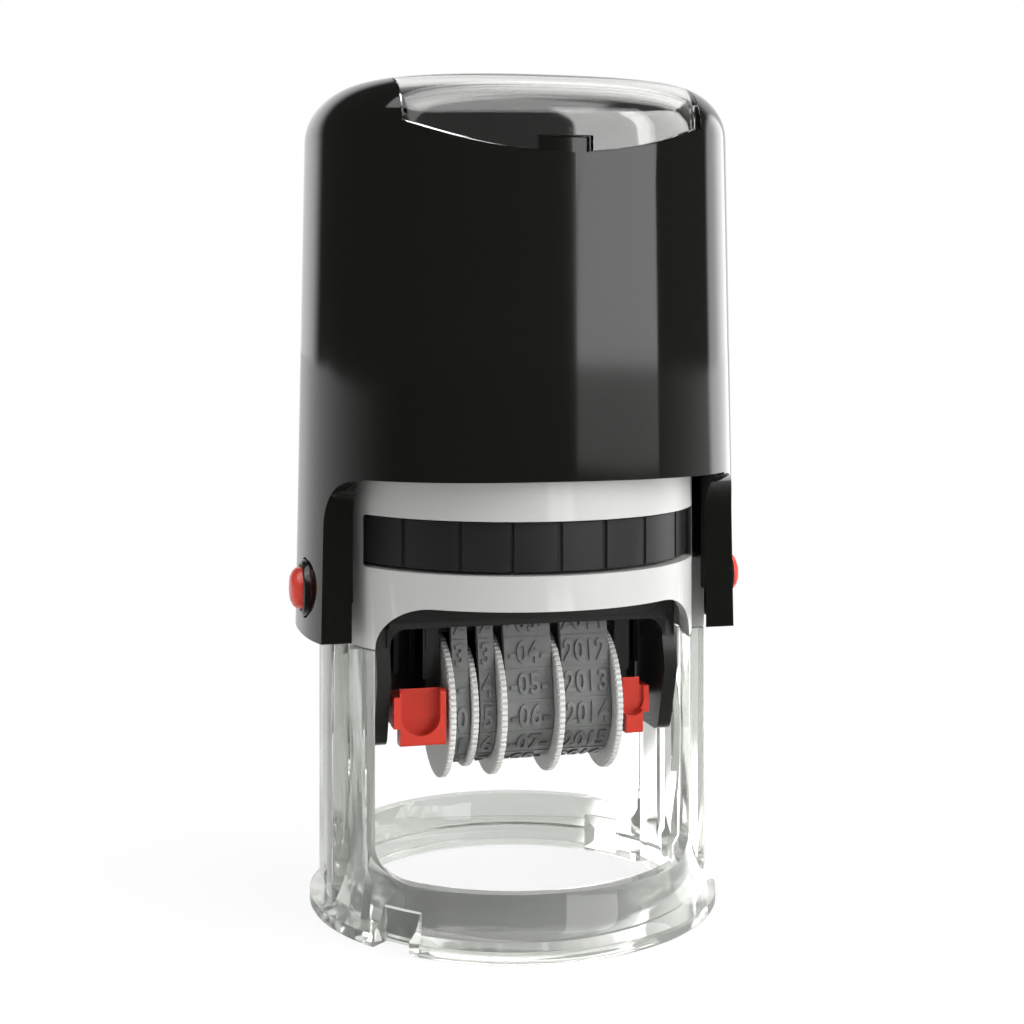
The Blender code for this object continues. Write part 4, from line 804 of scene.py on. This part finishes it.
def add_disc(shape, x, radius):
    """A thumb disc with a ring of square teeth standing from its rim; the teeth take the second material, whose
    lighter grey is a painted highlight.
    """
    body = radius - TOOTH_DEPTH
    made = bmesh.ops.create_cone(
        shape, cap_ends=True, segments=96, radius1=body * MM, radius2=body * MM, depth=DISC_THICKNESS * MM
    )["verts"]
    place = Matrix.Translation(Vector((x + DISC_THICKNESS / 2, 0, AXLE_HEIGHT)) * MM)
    bmesh.ops.transform(shape, matrix=place @ Matrix.Rotation(math.pi / 2, 4, "Y"), verts=made)
    teeth = round(DISC_TEETH * radius / DISC_RADIUS)
    long = 2 * math.pi * radius / teeth * TOOTH_SHARE
    size = Matrix.Diagonal(((DISC_THICKNESS - 0.1) * MM, long * MM, 2 * TOOTH_DEPTH * MM, 1))
    raised = Matrix.Translation((0, 0, body * MM)) @ size
    for i in range(teeth):
        cube = bmesh.ops.create_cube(shape, size=1)["verts"]
        spin = Matrix.Rotation(2 * math.pi * i / teeth, 4, "X")
        bmesh.ops.transform(shape, matrix=place @ spin @ raised, verts=cube)
        edges = list({edge for vert in cube for edge in vert.link_edges})
        for face in {face for vert in cube for face in vert.link_faces}:
            face.material_index = 1
        bmesh.ops.bevel(
            shape, geom=edges, offset=TOOTH_BEVEL * MM, segments=1, profile=0.5, affect="EDGES", material=-1
        )


for name, (drum, discs) in WHEELS.items():
    profile = [(DRUM_RADIUS, drum[1]), (DRUM_RADIUS, drum[0]), (AXLE_BORE, drum[0]), (AXLE_BORE, drum[1])]
    shape = turned(profile, 72, along_x=True, height=AXLE_HEIGHT)
    for x, radius in discs:
        add_disc(shape, x, radius)
    wheel = make_piece(f"{name}_thumb_wheel", shape, wheel_plastic)
    wheel.data.materials.append(tooth_highlight_plastic)
    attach(wheel, name)
    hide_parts(f"{name}_wheel")


# Date bands. Endless belts of grey rubber, one round each wheel and up over the nose, with raised numbers in rows
# and a low ridge between the rows.
BAND_RADIUS = 10.0
BAND_THICKNESS = 1.5
BAND_TOP = 57.05
BAND_TOP_HALF_DEPTH = 6.0
BAND_CORNER = 1.6
ROWS = 16
ROW_SHIFT = 1.6
FIGURE_HEIGHT = 3.5
FIGURE_RELIEF = 0.45
FIGURE_SINK = 0.05
FIGURE_ROOM = 0.9
FIGURE_CUTS = (-1.2, -0.6, 0.0, 0.6, 1.2)
RIDGE_RELIEF = 0.2
RIDGE_WIDTH = 0.3
BAND_GAP = 0.2
BAND_TEXTS = {
    "day_tens": ["0", "1", "2", "3", "-"],
    "day_units": [str(i) for i in range(10)],
    "month": [f"-{i:02d}-" for i in range(1, 13)],
    "year": [str(2009 + i) for i in range(ROWS)],
}
band_rubber = moulded(
    "band_rubber", (0.108, 0.112, 0.108), 0.5, mottle=0.25, haze=0.1, grain=6000.0, relief=0.5, rub=0.5
)


def band_path(inset):
    """The belt's outline: half round under the axle, leaning sides and a flat printing end."""
    half = BAND_TOP_HALF_DEPTH - inset
    corner = BAND_CORNER - inset * 0.6
    top = BAND_TOP - inset
    path = arc((0, AXLE_HEIGHT), BAND_RADIUS - inset, -180, 0, 48)
    path += arc((half - corner, top - corner), corner, 0, 90, 5)
    path += arc((corner - half, top - corner), corner, 90, 180, 5)
    return path


def on_band(path, distance, out):
    """The point at a distance along the belt's outline, lifted off it; the start is its lowest point."""
    total = [0.0]
    for a, b in zip(path, path[1:] + path[:1]):
        total.append(total[-1] + math.dist(a, b))
    distance = (distance + total[24]) % total[-1]
    for i in range(len(path)):
        if total[i] <= distance <= total[i + 1]:
            a, b = path[i], path[(i + 1) % len(path)]
            share = (distance - total[i]) / (total[i + 1] - total[i])
            along = Vector((b[0] - a[0], b[1] - a[1])).normalized()
            return a[0] + (b[0] - a[0]) * share + along[1] * out, a[1] + (b[1] - a[1]) * share - along[0] * out
    return path[0]


def add_figures(shape, text, low, high, distance, path):
    """A row of raised figures, drawn flat and then wrapped onto the belt."""
    curve = bpy.data.curves.new("figures", "FONT")
    curve.body = text
    curve.size = FIGURE_HEIGHT / 0.7
    curve.align_x = "CENTER"
    curve.align_y = "CENTER"
    curve.resolution_u = 3
    curve.space_character = 1.06
    curve.extrude = 0.5
    curve.offset = 0.13
    helper = bpy.data.objects.new("figures", curve)
    scene.collection.objects.link(helper)
    mesh = bpy.data.meshes.new_from_object(helper.evaluated_get(bpy.context.evaluated_depsgraph_get()))
    bpy.data.objects.remove(helper)
    figures = bmesh.new()
    figures.from_mesh(mesh)
    bpy.data.meshes.remove(mesh)
    bmesh.ops.remove_doubles(figures, verts=figures.verts, dist=1e-5)
    for height in FIGURE_CUTS:
        geometry = list(figures.verts) + list(figures.edges) + list(figures.faces)
        bmesh.ops.bisect_plane(figures, geom=geometry, plane_co=(0, height, 0), plane_no=(0, 1, 0))
    wide = max(v.co.x for v in figures.verts) - min(v.co.x for v in figures.verts)
    squeeze = min(0.8, (high - low - FIGURE_ROOM) / wide)
    middle = (low + high) / 2
    for vert in figures.verts:
        y, z = on_band(path, distance - vert.co.y, (vert.co.z + 0.5) * FIGURE_RELIEF - FIGURE_SINK)
        vert.co = Vector((middle + vert.co.x * squeeze, y, z)) * MM
    bmesh.ops.recalc_face_normals(figures, faces=figures.faces)
    wrapped = bpy.data.meshes.new("figures")
    figures.to_mesh(wrapped)
    figures.free()
    shape.from_mesh(wrapped)
    bpy.data.meshes.remove(wrapped)


def belt(low, high):
    """The belt itself: its outline extruded across, with the inside outline bridged to it."""
    shape = bmesh.new()
    rings = []
    for inset, x in ((0, low), (0, high), (BAND_THICKNESS, high), (BAND_THICKNESS, low)):
        points = [shape.verts.new((x * MM, y * MM, z * MM)) for y, z in band_path(inset)]
        rings.append([shape.edges.new((points[i - 1], points[i])) for i in range(len(points))])
    for one, other in zip(rings, rings[1:] + rings[:1]):
        bmesh.ops.bridge_loops(shape, edges=one + other)
    bmesh.ops.recalc_face_normals(shape, faces=shape.faces)
    return shape


for name, (drum, _) in WHEELS.items():
    low, high = drum[0] + BAND_GAP, drum[1] - BAND_GAP
    shape = belt(low, high)
    path = band_path(0)
    pitch = sum(math.dist(a, b) for a, b in zip(path, path[1:] + path[:1])) / ROWS
    for i in range(ROWS):
        texts = BAND_TEXTS[name]
        distance = (i - ROWS / 2) * pitch + ROW_SHIFT
        add_figures(shape, texts[i % len(texts)], low, high, distance, path)
        ridge = bmesh.ops.create_cube(shape, size=1)["verts"]
        y, z = on_band(path, distance + pitch / 2, 0)
        y_out, z_out = on_band(path, distance + pitch / 2, 1)
        turn = math.atan2(z_out - z, y_out - y) - math.pi / 2
        size = Matrix.Diagonal(((high - low) * MM, RIDGE_WIDTH * MM, 2 * RIDGE_RELIEF * MM, 1))
        place = Matrix.Translation(Vector(((low + high) / 2, y, z)) * MM) @ Matrix.Rotation(turn, 4, "X")
        bmesh.ops.transform(shape, matrix=place @ size, verts=ridge)
    band = make_piece(f"{name}_date_band", shape, band_rubber)
    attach(band, "print_unit")
    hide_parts(f"{name}_band")


# Release clips. Two red mouldings in front of the cheeks, each on an arm that bends at its rear; pressing the
# hollowed front tabs frees the date unit. The left one also reaches across to the carrier's leg.
CLIP_FRONT = -12.5
CLIP_LOW = 30.5
CLIP_HIGH = 40.0
CLIP_PLATE = 3.0
CLIP_ARM = (33.8, 38.5, -3.4)
CLIP_HOLLOW = 2.2

clip_red = moulded(
    "clip_red_plastic", (0.50, 0.035, 0.02), 0.26, mottle=0.15, haze=0.08, grain=3000.0, relief=0.08, rub=0.15
)
for side, tab, arm, hollow in (
    ("left", (-24.1, -15.0), (-24.1, -17.5), (-19.4, 35.6, 3.4)),
    ("right", (17.5, 20.6), (20.0, 22.2), (18.6, 36.2, 2.6)),
):
    outline = rounded_box((CLIP_FRONT, CLIP_LOW), (CLIP_FRONT + CLIP_PLATE, CLIP_HIGH), 0.5, 0.8, 4)
    clip = make_piece(f"release_clip_{side}", prism(outline, *tab, "X"), clip_red)
    steps = [("UNION", block((arm[0], CLIP_FRONT + 1.5, CLIP_ARM[0]), (arm[1], CLIP_ARM[2], CLIP_ARM[1])))]
    round_part = arc((hollow[0], hollow[1]), hollow[2], 180, 360, 24)
    round_part += [(hollow[0] + hollow[2], CLIP_HIGH + 1), (hollow[0] - hollow[2], CLIP_HIGH + 1)]
    steps.append(("DIFFERENCE", prism(round_part, CLIP_FRONT - 1, CLIP_FRONT + CLIP_HOLLOW, "Y")))
    if side == "left":
        steps.append(("DIFFERENCE", block((tab[0] - 1, CLIP_FRONT - 1, CLIP_LOW - 1), (tab[0] + 1.1, -2.0, 33.6))))
        steps.append(("DIFFERENCE", block((tab[0] - 1, CLIP_FRONT - 1, 39.0), (tab[0] + 1.0, -2.0, 41.0))))
    carve(clip, steps)
    soften(clip, 0.35, 3)
    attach(clip, f"clip_{side}")
    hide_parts(f"red_clip_{side}")


# Cap. The glossy black push cap, an oval shell that widens a little towards its foot, with an arm at each side that
# runs down outside the post. Its top is recessed for the index window.
CAP_TOP = 145.5
CAP_EDGE = 77.0
ARM_LOW = 49.0
CAP_CORNER = 9.0
CAP_CROWN = 1.2
CAP_POWER = 2.5
CAP_FOOT_HALF = (38.6, 35.2)
CAP_HEAD_HALF = (36.8, 34.6)
CAP_WALL = 1.8
CAP_HEAD_WALL = 3.6
CAP_HEAD_STEP = 130.0
CAP_CEILING = 4.4
ARM_HALF_DEPTH = 14.4
ARM_FILLET = 8.5
ARM_INNER = 31.5
ARM_CHANNEL_HALF = (36.4, 12.2)
INDEX_HALF_WIDTH = 25.6
INDEX_THICKNESS = 1.4
INDEX_LOW = 130.8
INDEX_RISE = 5.2
BUTTON_HEIGHT = 57.3
BUTTON_FORWARD = 5.0
BEZEL_SEAT = 37.7
FLARE_ROOM = 34.8
FLARE_ROOM_HIGH = 55.8


def cap_shape(inset, low, ceiling, around=160):
    """A solid with the cap's oval plan, taper, round shoulder and crowned top, shrunk by an inset."""
    top = CAP_TOP - ceiling - CAP_CROWN
    radius = CAP_CORNER - inset
    rings = [(low + (top - radius - low) * i / 6, inset, 1.0) for i in range(6)]
    for i in range(13):
        turn = math.pi / 2 * i / 12
        rings.append((top - radius + radius * math.sin(turn), inset + radius * (1 - math.cos(turn)), 1.0))
    for i in range(1, 8):
        share = 1 - i / 8
        rings.append((top + CAP_CROWN * (1 - share**2), inset + radius, share))
    shape = bmesh.new()
    loops = []
    for height, shrink, share in rings:
        rise = (height - ARM_LOW) / (CAP_TOP - ARM_LOW)
        half = [foot + (head - foot) * rise - shrink for foot, head in zip(CAP_FOOT_HALF, CAP_HEAD_HALF)]
        verts = []
        for i in range(around):
            turn = 2 * math.pi * (i + 0.5) / around
            across, along = math.cos(turn), math.sin(turn)
            x = math.copysign(abs(across) ** (2 / CAP_POWER), across) * half[0] * share
            y = math.copysign(abs(along) ** (2 / CAP_POWER), along) * half[1] * share
            verts.append(shape.verts.new((x * MM, y * MM, height * MM)))
        loops.append([shape.edges.new((verts[i - 1], verts[i])) for i in range(around)])
    for lower, upper in zip(loops, loops[1:]):
        bmesh.ops.bridge_loops(shape, edges=lower + upper)
    bmesh.ops.contextual_create(shape, geom=loops[0])
    bmesh.ops.contextual_create(shape, geom=loops[-1])
    bmesh.ops.recalc_face_normals(shape, faces=shape.faces)
    return shape


def index_prism(clearance):
    """The window's outline from the front: straight sides and a hanging curve below."""
    half = INDEX_HALF_WIDTH + clearance
    outline = [(half, CAP_TOP + 2), (-half, CAP_TOP + 2)]
    for i in range(33):
        share = 2 * i / 32 - 1
        outline.append((half * share, INDEX_LOW - clearance + INDEX_RISE * share**2))
    return prism(outline, -40, 40, "Y")


cap = make_piece("push_cap", cap_shape(0, ARM_LOW, 0), black_gloss)
lower_cavity = make_piece("tool_cavity", cap_shape(CAP_WALL, CAP_EDGE - 0.3, CAP_CEILING))
carve(lower_cavity, [("DIFFERENCE", block((-50, -50, CAP_HEAD_STEP), (50, 50, 150)))])
recess = make_piece("tool_recess", index_prism(0.15))
carve(recess, [("DIFFERENCE", cap_shape(INDEX_THICKNESS + 0.3, CAP_EDGE, INDEX_THICKNESS + 0.3))])


def shape_of(piece):
    """A helper piece's mesh as a bmesh; the piece goes."""
    shape = bmesh.new()
    shape.from_mesh(piece.data)
    bpy.data.objects.remove(piece)
    return shape


front_gap = [(-50, 40), (-ARM_HALF_DEPTH, 40)]
front_gap += arc((-ARM_HALF_DEPTH - ARM_FILLET, CAP_EDGE - ARM_FILLET), ARM_FILLET, 0, 90, 14)
front_gap.append((-50, CAP_EDGE))
across, along = ARM_CHANNEL_HALF
arm_gap = [
    ("DIFFERENCE", shape_of(lower_cavity)),
    ("DIFFERENCE", cap_shape(CAP_HEAD_WALL, CAP_EDGE + 1.8, CAP_CEILING)),
    ("DIFFERENCE", prism(front_gap, -50, 50, "X")),
    ("DIFFERENCE", prism([(-y, z) for y, z in front_gap], -50, 50, "X")),
    ("DIFFERENCE", block((-ARM_INNER, -50, 40), (ARM_INNER, 50, CAP_EDGE + 0.3))),
    ("DIFFERENCE", block((-across, -along, 40), (across, along, CAP_EDGE + 0.3))),
    ("DIFFERENCE", turned([(0, 40), (FLARE_ROOM, 40), (FLARE_ROOM, FLARE_ROOM_HIGH), (0, FLARE_ROOM_HIGH)])),
    ("DIFFERENCE", shape_of(recess)),
]
for sign in (-1, 1):
    for operation, radius, start, end, y, z in (
        ("UNION", 2.5, FLARE_ROOM, 37.5, 0, PIVOT_HEIGHT),
        ("DIFFERENCE", 1.6, 33.0, 36.3, 0, PIVOT_HEIGHT),
        ("DIFFERENCE", 5.2, BEZEL_SEAT, 42.0, -BUTTON_FORWARD, BUTTON_HEIGHT),
        ("DIFFERENCE", 3.9, 33.0, 42.0, -BUTTON_FORWARD, BUTTON_HEIGHT),
    ):
        low, high = sorted((sign * start, sign * end))
        round_part = turned([(0.0, low), (radius, low), (radius, high), (0.0, high)], 48, along_x=True)
        bmesh.ops.translate(round_part, verts=round_part.verts, vec=Vector((0, y, z)) * MM)
        arm_gap.append((operation, round_part))
carve(cap, arm_gap)
soften(cap, 0.45, 3, 50)
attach(cap, "cap")
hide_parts("cap_shell")


# Lock buttons. A domed red button in a black ring on each arm. Pressed in while the cap is down, it holds the stamp
# closed.
BUTTON_RADIUS = 3.6
BUTTON_OUTER = 41.0
BEZEL_RADIUS = 4.9
button_red = moulded(
    "button_red_plastic", (0.55, 0.05, 0.035), 0.22, mottle=0.08, haze=0.06, grain=2500.0, relief=0.06
)
bezel_black = moulded("bezel_black_plastic", (0.008, 0.008, 0.008), 0.2, mottle=0.1, grain=3000.0, relief=0.05)
for side, sign in (("left", -1), ("right", 1)):
    low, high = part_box(f"button_bezel_{side}")
    seat = min(abs(low.x), abs(high.x)) / MM
    button = make_piece(
        f"lock_push_{side}",
        turned(
            [
                (0.0, BUTTON_OUTER),
                (1.2, BUTTON_OUTER - 0.05),
                (2.2, BUTTON_OUTER - 0.2),
                (3.0, BUTTON_OUTER - 0.6),
                (3.45, BUTTON_OUTER - 1.1),
                (BUTTON_RADIUS, BUTTON_OUTER - 1.8),
                (BUTTON_RADIUS, 35.8),
                (0.0, 35.8),
            ],
            64,
            along_x=True,
            height=BUTTON_HEIGHT,
        ),
        button_red,
    )
    ring = make_piece(
        f"lock_ring_{side}",
        turned(
            [
                (3.9, seat),
                (3.9, seat + 0.7),
                (4.05, seat + 1.0),
                (4.3, seat + 1.1),
                (4.65, seat + 0.95),
                (4.85, seat + 0.6),
                (BEZEL_RADIUS, seat),
            ],
            64,
            along_x=True,
            height=BUTTON_HEIGHT,
        ),
        bezel_black,
    )
    for piece in (button, ring):
        if sign < 0:
            piece.data.transform(Matrix.Rotation(math.pi, 4, "Z"))
        piece.data.transform(Matrix.Translation((0, -BUTTON_FORWARD * MM, 0)))
    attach(button, f"button_{side}")
    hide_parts(f"lock_button_{side}")
    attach(ring, "cap")
    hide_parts(f"button_bezel_{side}")


# Index window. A thin clear cover that snaps over the cap's top, with a finger notch at the front, and the plain
# card that it holds for the user's own imprint.
index_clear = moulded(
    "index_clear_plastic",
    (0.96, 0.965, 0.95),
    0.02,
    mottle=0.02,
    haze=0.01,
    grain=200.0,
    relief=0.05,
    Transmission_Weight=1.0,
    IOR=1.49,
)
index = make_piece("index_window_cover", cap_shape(0, CAP_HEAD_STEP, 0), index_clear)
carve(
    index,
    [
        ("INTERSECT", index_prism(-0.05)),
        ("DIFFERENCE", cap_shape(INDEX_THICKNESS, CAP_EDGE, INDEX_THICKNESS)),
        ("DIFFERENCE", block((-4.6, -50, 125), (4.6, 0, 133.5))),
    ],
)
soften(index, 0.3, 3)
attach(index, "index_cover")
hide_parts("index_window")

card_paper = moulded("index_card_paper", (0.02, 0.02, 0.02), 0.6, mottle=0.1, grain=2500.0, relief=0.2)
nodes["index_card"].data.materials.clear()
nodes["index_card"].data.materials.append(card_paper)
